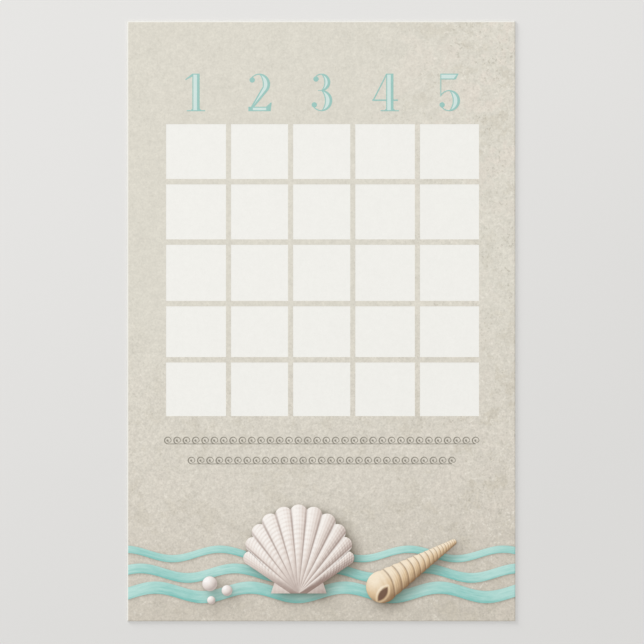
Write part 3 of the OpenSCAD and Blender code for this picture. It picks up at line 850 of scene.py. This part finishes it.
def sand_material(colours, sheet, low, high):
    """Mottled ground print: it deepens towards the foot and the right, and the more worn it is there, the
    more it is mottled, speckled and flecked. Warm patches are mostly at the top, dull ones there and low
    down, and the picture's shadows lie over it all."""
    material, nodes = new_material("sand_print")
    place = nodes.place()
    across, up, _ = nodes.axes()
    fall = nodes.spread(up, high.y, low.y, kind="LINEAR")
    depth = nodes.times(nodes.spread(across, low.x, high.x), SAND_RIGHT_SHARE, fall)
    tones = colours.sand, colours.sand, colours.sand_worn, colours.sand_deep
    colour = nodes.ramp(depth, SAND_STOP_SHARES, tones)
    low_down, top = nodes.spread(up, *SAND_LOW), nodes.spread(up, *SAND_TOP)
    right = nodes.spread(across, 0.0, high.x)
    worn = nodes.math("MAXIMUM", nodes.times(low_down, WEAR_LOW_SHARE), nodes.times(right, WEAR_RIGHT_SHARE))

    def printed(colour, ink, mask, fresh, old):
        """The colour with an ink over it, by a mask times a strength that grows with the wear."""
        return nodes.mix(nodes.times(mask, nodes.times(worn, old - fresh, fresh)), colour, linear(ink))

    patches = nodes.noise(place, PATCH_NOISE)
    warm = nodes.times(top, 1 - WARM_SHARE, WARM_SHARE)
    warm = nodes.times(warm, nodes.spread(patches, *WARM_LIMITS))
    colour = printed(colour, colours.blush, warm, *PATCH_STRENGTHS)
    dull = nodes.times(top, DULL_TOP_SHARE, nodes.times(low_down, DULL_LOW_SHARE, DULL_SHARE))
    dull = nodes.times(dull, nodes.spread(patches, *DULL_LIMITS))
    colour = printed(colour, colours.khaki, dull, *PATCH_STRENGTHS)
    crowds = nodes.noise(place, CROWD_NOISE)
    for dots in SAND_DOTS:
        crowded = nodes.spread(crowds, *dots.crowd, STRAY_SHARE, 1.0)
        mask = nodes.times(nodes.spread(nodes.noise(place, dots.noise), *dots.limits), crowded)
        colour = printed(colour, getattr(colours, dots.ink), mask, *dots.strengths)
    coarse = nodes.math("MAXIMUM", low_down, nodes.times(right, COARSE_RIGHT_SHARE))
    for scale, seed, (least, most) in SAND_GRAINS:
        colour = grained(nodes, colour, Grain(scale, seed, nodes.times(coarse, most - least, least)))
    finish_paper(nodes, shadowed(nodes, colour, colours.shadow), sheet)
    return material


# Inks of the heading and the scrolls, with how unevenly each takes, and their two grains' scales and seeds
INK_UNEVENNESS = {"teal_line": 0.16, "teal_tint": 0.08, "grey_line": 0.2}
FINE_INK = (1500, 12)
WIDE_INK = (300, 13)


def ink_material(name, colours, sheet):
    """Line or tint of one ink: it takes a little unevenly on the paper's tooth."""
    material, nodes = new_material(name)
    uneven = INK_UNEVENNESS[name]
    grains = Grain(*FINE_INK, uneven), Grain(*WIDE_INK, uneven / 2)
    finish_paper(nodes, grained(nodes, linear(getattr(colours, name)), *grains), sheet)
    return material


# Satin of the stripes: streaks across half a stripe, and two sets of them, each with its pace along the
# stripe, its noise and its swing, then the light at which the deep and the light ink stand
STREAKS_ACROSS = 3
Streaks = namedtuple("Streaks", "pace noise swing")
STREAKS = (Streaks(0.5, Noise(1, 14, 3, 0.6), 0.9), Streaks(0.12, Noise(1, 23, 3, 0.6), 0.8))
STRIPE_STOPS = (0.1, 0.9)
STRIPE_GRAIN = Grain(1300, 15, 0.06)


def stripe_material(colours, sheet):
    """Teal stripe with a satin look: streaks along it, over the light of its rise and fall."""
    material, nodes = new_material("satin_stripe")
    along, across = nodes.mark("along"), nodes.mark("across")
    light = nodes.mark("light")
    for streaks in STREAKS:
        parts = {0: nodes.times(along, streaks.pace), 1: nodes.times(across, STREAKS_ACROSS)}
        place = nodes.add("ShaderNodeCombineXYZ", parts)
        light = nodes.swing(nodes.noise(place, streaks.noise), streaks.swing, light)
    colour = nodes.ramp(light, STRIPE_STOPS, (colours.stripe_deep, colours.stripe_light))
    colour = grained(nodes, colour, STRIPE_GRAIN)
    finish_paper(nodes, shadowed(nodes, colour, colours.shadow), sheet)
    return material


# Shells and pearls: their mottling, its swing, the light at which their three inks stand, and their grain
SHELL_NOISE = Noise(420, 16, 4, 0.6)
SHELL_SWING = 0.22
SHELL_STOPS = (0.12, 0.62, 0.95)
SHELL_GRAIN = Grain(1300, 17, 0.12)


def shell_material(name, dark, colours, sheet):
    """Printed shell: a ramp of its three inks over the picture's light, mottled, with its hollows in a dark
    ink."""
    material, nodes = new_material(name + "_print")
    light = nodes.swing(nodes.noise(nodes.place(), SHELL_NOISE), SHELL_SWING, nodes.mark("light"))
    inks = [getattr(colours, name + tone) for tone in ("_shade", "", "_light")]
    colour = nodes.ramp(light, SHELL_STOPS, inks)
    colour = nodes.mix(nodes.mark("hollow"), colour, linear(dark))
    finish_paper(nodes, grained(nodes, colour, SHELL_GRAIN), sheet)
    return material


# Operators

# Table top: how much its painted shade darkens it to the right beside downwards, its grain and its finish
FLOOR_SHADE_RIGHT_SHARE = 0.35
FLOOR_GRAIN = Grain(9, 18, 0.03)
FLOOR_ROUGHNESS = 0.8
FLOOR_GLOSS = 0.1


class CARD_OT_stage(Operator):
    """Floor, soft light and a camera straight above the card"""
    bl_idname = "bingo_card.stage"
    bl_label = "Stage"

    def execute(self, context):
        scene, stage = context.scene, context.scene.card_stage
        low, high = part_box("card_stock")
        scene.view_settings.view_transform = "Standard"
        self.add_floor(scene, stage, low)
        self.add_light(scene, stage)
        camera = bpy.data.objects.new("camera", bpy.data.cameras.new("camera"))
        camera.data.lens = stage.lens
        distance = stage.view_width * stage.lens / camera.data.sensor_width
        camera.location = (stage.view_x, stage.view_y, high.z + distance)
        scene.collection.objects.link(camera)
        scene.camera = camera
        return {"FINISHED"}

    def add_floor(self, scene, stage, low):
        """Table top just under the card, a little darker to the lower right by painted shade."""
        half, level = stage.floor_width / 2, low.z - stage.floor_gap
        mesh = bpy.data.meshes.new("floor")
        corners = [(-half, -half, level), (half, -half, level), (half, half, level), (-half, half, level)]
        mesh.from_pydata(corners, [], [(0, 1, 2, 3)])
        floor = bpy.data.objects.new("floor", mesh)
        scene.collection.objects.link(floor)
        material, nodes = new_material("table_top")
        across, up, _ = nodes.axes()
        # Painted shade: the floor darkens towards the lower right as the light falls off there
        fall = nodes.spread(nodes.times(across, -FLOOR_SHADE_RIGHT_SHARE, up), -low.y, low.y)
        colour = nodes.mix(fall, linear(stage.floor), linear(stage.floor_painted_shade))
        colour = grained(nodes, colour, FLOOR_GRAIN)
        nodes.surface({
            "Base Color": colour, "Roughness": FLOOR_ROUGHNESS, "Specular IOR Level": FLOOR_GLOSS,
        })
        mesh.materials.append(material)

    def add_light(self, scene, stage):
        """Even light from all around, which the camera sees as a pale wall, a wide lamp overhead, and a lamp
        at the side whose power gives its share of the light on the face."""
        world = bpy.data.worlds.new("studio")
        world.use_nodes = True
        nodes = Nodes(world.node_tree)
        seen = nodes.add("ShaderNodeLightPath", output="Is Camera Ray")
        strength = nodes.times(seen, stage.wall - stage.sky, stage.sky)
        background = world.node_tree.nodes["Background"].inputs
        background["Color"].default_value = (1, 1, 1, 1)
        world.node_tree.links.new(strength, background["Strength"])
        scene.world = world
        lamp = bpy.data.lights.new("roof_lamp", "SUN")
        lamp.angle, lamp.energy = stage.roof_spread, stage.roof * pi
        scene.collection.objects.link(bpy.data.objects.new("roof_lamp", lamp))
        lamp = bpy.data.lights.new("key_lamp", "AREA")
        lamp.size = stage.key_width
        lamp.energy = stage.key * (pi * stage.key_distance) ** 2 / sin(stage.key_height)
        key = bpy.data.objects.new("key_lamp", lamp)
        flat = cos(stage.key_height)
        way = Vector((-sin(stage.key_side) * flat, cos(stage.key_side) * flat, sin(stage.key_height)))
        key.location = way * stage.key_distance
        key.rotation_euler = way.to_track_quat("Z", "Y").to_euler()
        scene.collection.objects.link(key)


# Grid lines across the flat middle of the sheet
SHEET_LINES = 28


class CARD_OT_sheet(Operator):
    """Card stock: a flat sheet whose cut edge is rounded off at the face"""
    bl_idname = "bingo_card.sheet"
    bl_label = "Card stock"

    def execute(self, context):
        colours, sheet = context.scene.card_colours, context.scene.card_sheet
        picture = Picture(context.scene)
        low, high = picture.card_low, picture.card_high
        x_lines = self.lines(low.x, high.x, sheet.near_rim, sheet.far_rim)
        y_lines = self.lines(low.y, high.y, sheet.far_rim, sheet.near_rim)
        x, y = np.meshgrid(x_lines, y_lines, indexing="ij")
        surface = film(x, y, low.z, high.z - picture.drop(x, y))
        material = stock_material(colours, sheet, low.z, high.z)
        new_piece("card_sheet", surface, material, ["card_stock"], "sheet")
        return {"FINISHED"}

    def lines(self, low, high, first_rim, last_rim):
        """Grid lines across the sheet: a few over each sloping rim, and even ones between."""
        first, last = low + np.linspace(0, first_rim, RIM_LINES), high - np.linspace(last_rim, 0, RIM_LINES)
        return np.concatenate([first, np.linspace(first[-1], last[0], SHEET_LINES)[1:-1], last])


# Decimals of a metre to which the lines of the sand print's windows are read
LINE_DECIMALS = 6

# Top of the foot of the card, where the sand print is drawn in detail, in shares of the fan's height
FOOT_TOP_SHARE = 1.1


class CARD_OT_sand(Operator):
    """Sand print: the ground of the face, open where the cells are"""
    bl_idname = "bingo_card.sand"
    bl_label = "Sand print"

    def execute(self, context):
        scene = context.scene
        picture = Picture(scene)
        low, high = picture.print_low, picture.print_high
        x_lines, y_lines = self.window_lines(low, high)
        rim = picture.far_lines()
        x_flat = spaced(np.append(x_lines[:-1], high.x - rim[-1]), FINE_STEP)
        x_fine = np.concatenate([x_flat[:-1], high.x - rim[::-1]])
        foot_top = picture.hinge[1] + FOOT_TOP_SHARE * picture.fan_height
        y_foot = spaced(np.array([low.y + rim[-1], foot_top]), FINE_STEP)
        y_rest = spaced(np.concatenate([[foot_top], y_lines[1:]]), COARSE_STEP)
        y_fine = np.concatenate([low.y + rim[:-1], y_foot[:-1], y_rest])
        columns, rows = (np.searchsorted(lines, (fine[1:] + fine[:-1]) / 2) - 1
                         for lines, fine in ((x_lines, x_fine), (y_lines, y_fine)))
        keep = ~((columns % 2 == 1)[:, None] & (rows % 2 == 1))
        x, y = np.meshgrid(x_fine, y_fine, indexing="ij")
        foot, top = picture.sunk(x, y, picture.print_z)
        surface = film(x, y, foot, top, keep, shade=picture.ground_shadow()(x, y))
        material = sand_material(scene.card_colours, scene.card_sheet, low, high)
        new_piece("sand_film", surface, material, ["ground_print"])
        return {"FINISHED"}

    def window_lines(self, low, high):
        """Lines of the windows' sides across and up the card, from the frame, between the print's own."""
        mesh = frame["nodes"]["ground_print"].data
        corners = np.zeros(3 * len(mesh.vertices), np.float32)
        mesh.vertices.foreach_get("co", corners)
        places = np.round(corners.astype(float), LINE_DECIMALS)
        x_lines, y_lines = np.unique(places[0::3]), np.unique(places[1::3])
        x_lines[[0, -1]], y_lines[[0, -1]] = (low.x, high.x), (low.y, high.y)
        return x_lines, y_lines


# Stripes: grid lines across each, how far apart their streaks are taken, and the steps in a wave that give
# its slope
STRIPE_LINES = 13
STREAK_OFFSET = 17
WAVE_STEPS = 100

# Light of the stripes: on the level, by the slope, in the shade below and in the lit part above, and where
# across a stripe the last two come in
STRIPE_LIGHT = 0.62
STRIPE_SLOPE_LIGHT = 0.55
STRIPE_SHADE = 0.42
STRIPE_SHADE_SHARES = (0.35, 1.05)
STRIPE_GLEAM = 0.1
STRIPE_GLEAM_SHARES = (0.1, 0.8)


class CARD_OT_stripes(Operator):
    """Teal stripes: three wavy bands across the foot"""
    bl_idname = "bingo_card.stripes"
    bl_label = "Stripes"

    def execute(self, context):
        scene = context.scene
        picture = Picture(scene)
        material = stripe_material(scene.card_colours, scene.card_sheet)
        shadow = picture.shell_shadow()
        rim = picture.print_high.x - picture.far_lines()[::-1]
        flat = spaced(np.array([picture.print_low.x, rim[0]]), FINE_STEP)
        along = np.append(flat[:-1], rim)[:, None]
        across = np.linspace(-1, 1, STRIPE_LINES)
        x = along + 0 * across
        for i, name in enumerate(STRIPES):
            y = picture.stripe_middle(i, along) + picture.stripe_half(i) * across
            hidden = picture.shell_distance(x, y) < 0
            keep = ~(hidden[1:, 1:] & hidden[1:, :-1] & hidden[:-1, 1:] & hidden[:-1, :-1])
            marks = {
                "along": along / picture.stripe_half(0) + STREAK_OFFSET * i, "across": across,
                "light": self.light(picture, i, along, across), "shade": shadow(x, y)}
            foot, top = picture.sunk(x, y, (picture.foot_z, picture.top_z))
            surface = film(x, y, foot, top, keep, **marks)
            new_piece(name + "_stripe", surface, material, [name + "_wave"])
        return {"FINISHED"}

    def light(self, picture, i, along, across):
        """Light along a stripe: brighter where it climbs to the right, and dim along its lower edge."""
        step = picture.sizes.stripe_wave / WAVE_STEPS
        rise = (picture.stripe_middle(i, along + step) - picture.stripe_middle(i, along - step)) / (2 * step)
        shade = STRIPE_SHADE * smooth_step(*STRIPE_SHADE_SHARES, -across)
        gleam = STRIPE_GLEAM * smooth_step(*STRIPE_GLEAM_SHARES, across)
        return STRIPE_LIGHT + STRIPE_SLOPE_LIGHT * rise - shade + gleam


# Fan of the scallop: points along each rib's end, lines out to it, and the step for its slopes
LOBE_STEPS = 20
FAN_LINES = 111
FAN_SLOPE_STEP = 0.12 * MM

# Grooves between the ribs: half width at the margin, the least share of it near the hinge, how far inside the
# outer sides they stop, in ribs, how dark they are, and where along the reach they come in and fade a little
GROOVE_HALF = 0.42 * MM
GROOVE_LEAST_SHARE = 0.25
GROOVE_END = 0.6
GROOVE_DEPTH = 0.75
GROOVE_START_SHARES = (0.1, 0.4)
GROOVE_FADE = 0.3
GROOVE_FADE_SHARES = (0.8, 0.95)

# Ears: their grid, the width of a fold, the light on them, what the right side and the foot take from it and
# what the folds give, and how dark they are under the fan
EAR_LINES = (81, 17)
EAR_FOLD = 1.5 * MM
EAR_LIGHT = 0.72
EAR_RIGHT_SHADE = 0.22
EAR_FOOT_SHADE = 0.25
EAR_FOLD_LIGHT = 0.021
EAR_HOLLOW = 0.25
EAR_HOLLOW_SHARES = (0.5, 1)


class CARD_OT_scallop(Operator):
    """Scallop: a fan of rounded ribs over two flat ears"""
    bl_idname = "bingo_card.scallop"
    bl_label = "Scallop"

    def execute(self, context):
        scene, colours = context.scene, context.scene.card_colours
        picture = Picture(scene)
        material = shell_material("scallop", colours.scallop_shade, colours, scene.card_sheet)
        fan_nodes = ["scallop_fan", "scallop_grooves"]
        new_piece("scallop_shell", self.fan(picture), material, fan_nodes)
        new_piece("scallop_ears", self.ears(picture), material, ["scallop_hinge"])
        return {"FINISHED"}

    def fan(self, picture):
        """Ruled film from the throat's line to the outline of the ribs' ends."""
        margin = picture.fan_margin(LOBE_STEPS)
        share = np.linspace(0, 1, FAN_LINES)[:, None]
        throat = np.zeros_like(margin)
        throat[:, 0] = np.linspace(-0.5, 0.5, len(margin)) * picture.sizes.throat
        points = throat[:, None] + (margin - throat)[:, None] * share
        x, y = points[..., 0], points[..., 1]
        light = lamp_light(picture.scallop_height, x, y, FAN_SLOPE_STEP)
        angle = np.arctan2(x, y)
        rib = angle / picture.rib_turn
        valley = np.abs(rib - np.floor(rib) - 0.5) * np.hypot(x, y) * picture.rib_turn
        reach = np.hypot(x, y) / picture.fan_reach(angle)
        inner = np.abs(rib) < RIB_COUNT / 2 - GROOVE_END
        half = GROOVE_HALF * np.clip(reach, GROOVE_LEAST_SHARE, 1)
        groove = GROOVE_DEPTH * np.exp(-(valley / half) ** 2) * inner
        fade = 1 - GROOVE_FADE * smooth_step(*GROOVE_FADE_SHARES, reach)
        hollow = groove * smooth_step(*GROOVE_START_SHARES, reach) * fade
        x, y = x + picture.hinge[0], y + picture.hinge[1]
        return picture.shell_film(x, y, light, hollow)

    def ears(self, picture):
        """Film of the two ears, as one strip that narrows upwards and passes under the fan."""
        _, tip, top = picture.ear_corners()
        across = np.linspace(-1, 1, EAR_LINES[0])[:, None]
        up = np.linspace(0, 1, EAR_LINES[1])
        x = across * (tip[0] + (top[0] - tip[0]) * up)
        y = up * top[1] + 0 * across
        folds = EAR_FOLD_LIGHT * np.sin(2 * pi * np.abs(x) / EAR_FOLD)
        shade = EAR_RIGHT_SHADE * smooth_step(0, 1, across) + EAR_FOOT_SHADE * (1 - up)
        hollow = EAR_HOLLOW * smooth_step(*EAR_HOLLOW_SHARES, up)
        x, y = x + picture.hinge[0], y + picture.hinge[1]
        return picture.shell_film(x, y, EAR_LIGHT - shade + folds, hollow, EAR_LIFT)


# Turret shell: points along its first whorl and along the others, lines across it, the turns left out at its
# round end and at its tip, and the step over which its slopes are taken
FIRST_WHORL_STEPS = 48
WHORL_STEPS = 14
TURRET_LINES = 45
TURRET_END_TURN = radians(3)
TURRET_TIP_TURN = radians(8)
TURRET_SLOPE_STEP = 0.08 * MM

# Lines between whorls: half width in shares of the shell's half width, the least half width of the shell that
# counts there, in shares of its largest whorl, and how dark they are
SUTURE_SHARE = 0.05
SUTURE_LEAST_SHARE = 0.2
SUTURE_DEPTH = 0.6

# Mouth: how dark it is and how soft its edge, and the brightness, place and half width of the lip around it
MOUTH_DEPTH = 0.95
MOUTH_BLUR = 0.25 * MM
LIP_LIGHT = 0.25
LIP_PLACE = 0.55 * MM
LIP_HALF = 0.35 * MM


class CARD_OT_turret(Operator):
    """Turret shell: whorls that shrink along a line, with a mouth in the largest"""
    bl_idname = "bingo_card.turret"
    bl_label = "Turret shell"

    def execute(self, context):
        scene, colours = context.scene, context.scene.card_colours
        picture = Picture(scene)
        along, across, x, y = self.surface(picture)
        mouth = picture.mouth_distance(along, across)
        lip = LIP_LIGHT * np.exp(-((mouth - LIP_PLACE) / LIP_HALF) ** 2)
        light = lamp_light(picture.turret_height, x, y, TURRET_SLOPE_STEP) + lip
        least = SUTURE_LEAST_SHARE * picture.sizes.whorl
        width = SUTURE_SHARE * np.clip(picture.cone_half(along), least, None)
        sutures = SUTURE_DEPTH * np.exp(-(picture.suture_distance(along, across) / width) ** 2)
        hollow = np.maximum(sutures, MOUTH_DEPTH * smooth_step(MOUTH_BLUR, -MOUTH_BLUR, mouth))
        surface = picture.shell_film(x, y, light, hollow)
        material = shell_material("turret", colours.mouth, colours, scene.card_sheet)
        replaced = ["turret_whorls", "turret_sutures", "turret_mouth"]
        new_piece("turret_shell", surface, material, replaced)
        return {"FINISHED"}

    def surface(self, picture):
        """Grid along and across the shell: each whorl's stretch runs between its notches as a circle's arc
        does, and the width follows the circle."""
        places, radii = picture.whorl_places, picture.whorl_radii
        step = np.diff(places)
        notches = places[:-1] + (step ** 2 + radii[:-1] ** 2 - radii[1:] ** 2) / (2 * step)
        start = places[0] - radii[0] * cos(TURRET_END_TURN)
        tip = places[-1] + radii[-1] * cos(TURRET_TIP_TURN)
        ends = np.concatenate([[start], notches, [tip]])
        turns = np.arccos((ends[:-1] - places) / radii), np.arccos((ends[1:] - places) / radii)
        counts = [FIRST_WHORL_STEPS] + [WHORL_STEPS] * (WHORL_COUNT - 1)
        arcs = [np.linspace(a, b, n + 1)[:-1] for a, b, n in zip(*turns, counts)]
        along = np.concatenate([p + r * np.cos(arc) for p, r, arc in zip(places, radii, arcs)] + [[tip]])
        half = [r * np.sin(arc) for r, arc in zip(radii, arcs)] + [radii[-1:] * sin(TURRET_TIP_TURN)]
        across = np.sin(np.linspace(-pi / 2, pi / 2, TURRET_LINES)) * np.concatenate(half)[:, None]
        along = along[:, None] + 0 * across
        slope = picture.sizes.turret_slope
        x = picture.turret[0] + along * cos(slope) - across * sin(slope)
        y = picture.turret[1] + along * sin(slope) + across * cos(slope)
        return along, across, x, y


# Pearls: grid lines each way, their light away from the lamp and what facing it adds, the bright spot and its
# power, the light back from the ground and its power, and the dark of the rim and where it comes in
PEARL_LINES = 33
PEARL_LIGHT = 0.28
PEARL_FACING_LIGHT = 0.6
PEARL_SPOT_LIGHT = 0.35
PEARL_SPOT_POWER = 24
PEARL_BACK_LIGHT = 0.22
PEARL_BACK_POWER = 3
PEARL_RIM_DEPTH = 0.35
PEARL_RIM_SHARES = (0.9, 1)


class CARD_OT_pearls(Operator):
    """Pearls: three round beads of different sizes"""
    bl_idname = "bingo_card.pearls"
    bl_label = "Pearls"

    def execute(self, context):
        scene, colours = context.scene, context.scene.card_colours
        picture = Picture(scene)
        beads = [self.bead(picture, m, r) for m, r in zip(picture.pearl_middles, picture.pearl_radii)]
        material = shell_material("pearl", colours.pearl_shade, colours, scene.card_sheet)
        new_piece("pearl_beads", joined(beads), material, ["pearls"])
        return {"FINISHED"}

    def bead(self, picture, middle, radius):
        """Film of a disc, as a square grid drawn round: each side of the square bends out to the circle. Its
        light is that of a ball, with a bright spot towards the lamp and some light back from the ground."""
        lines = np.linspace(-1, 1, PEARL_LINES)
        u, v = np.meshgrid(lines, lines, indexing="ij")
        x, y = u * np.sqrt(1 - v ** 2 / 2), v * np.sqrt(1 - u ** 2 / 2)
        out = np.sqrt(np.clip(1 - x ** 2 - y ** 2, 0, 1))
        facing = np.clip(np.stack([x, y, out], -1) @ PICTURE_LAMP, 0, 1)
        light = PEARL_LIGHT + PEARL_FACING_LIGHT * facing + PEARL_SPOT_LIGHT * facing ** PEARL_SPOT_POWER
        light = light + PEARL_BACK_LIGHT * (1 - out) ** PEARL_BACK_POWER
        hollow = PEARL_RIM_DEPTH * smooth_step(*PEARL_RIM_SHARES, np.hypot(x, y))
        x, y = middle[0] + radius * x, middle[1] + radius * y
        return picture.shell_film(x, y, light, hollow)


class CARD_OT_figures(Operator):
    """Inks of the heading figures and of the scroll lines"""
    bl_idname = "bingo_card.figures"
    bl_label = "Heading and scrolls"

    def execute(self, context):
        colours, sheet = context.scene.card_colours, context.scene.card_sheet
        inks = {name: ink_material(name, colours, sheet) for name in INK_UNEVENNESS}
        for subpart in frame["record"]["subparts"]:
            if subpart["material_slot"] in inks:
                node = frame["nodes"][subpart["node"]]
                for slot in node.material_slots:
                    slot.material = inks[subpart["material_slot"]]
        return {"FINISHED"}


OPERATORS = (
    CARD_OT_stage, CARD_OT_sheet, CARD_OT_sand, CARD_OT_stripes, CARD_OT_scallop, CARD_OT_turret,
    CARD_OT_pearls, CARD_OT_figures,
)
SETTINGS = {
    "card_sheet": CardSheetSizes, "card_picture": CardPictureSizes, "card_colours": CardColours,
    "card_stage": CardStage,
}


class CARD_PT_panel(Panel):
    """Pieces of the card, and the sizes and colours that they are made with"""
    bl_idname = "CARD_PT_panel"
    bl_label = "Bingo card"
    bl_space_type = "VIEW_3D"
    bl_region_type = "UI"
    bl_category = "Bingo card"

    def draw(self, context):
        for operator in OPERATORS:
            self.layout.operator(operator.bl_idname)
        for name, group in SETTINGS.items():
            box = self.layout.box()
            for setting in group.__annotations__:
                box.prop(getattr(context.scene, name), setting)


CLASSES = (*SETTINGS.values(), *OPERATORS, CARD_PT_panel)


def register():
    """Adds the classes, and the settings to the scene."""
    for cls in CLASSES:
        bpy.utils.register_class(cls)
    for name, group in SETTINGS.items():
        setattr(bpy.types.Scene, name, PointerProperty(type=group))


def unregister():
    """Takes them away again."""
    for name in SETTINGS:
        delattr(bpy.types.Scene, name)
    for cls in reversed(CLASSES):
        bpy.utils.unregister_class(cls)


def main():
    """Builds the card piece by piece."""
    register()
    for operator in OPERATORS:
        family, name = operator.bl_idname.split(".")
        getattr(getattr(bpy.ops, family), name)()


if __name__ == "__main__":
    main()
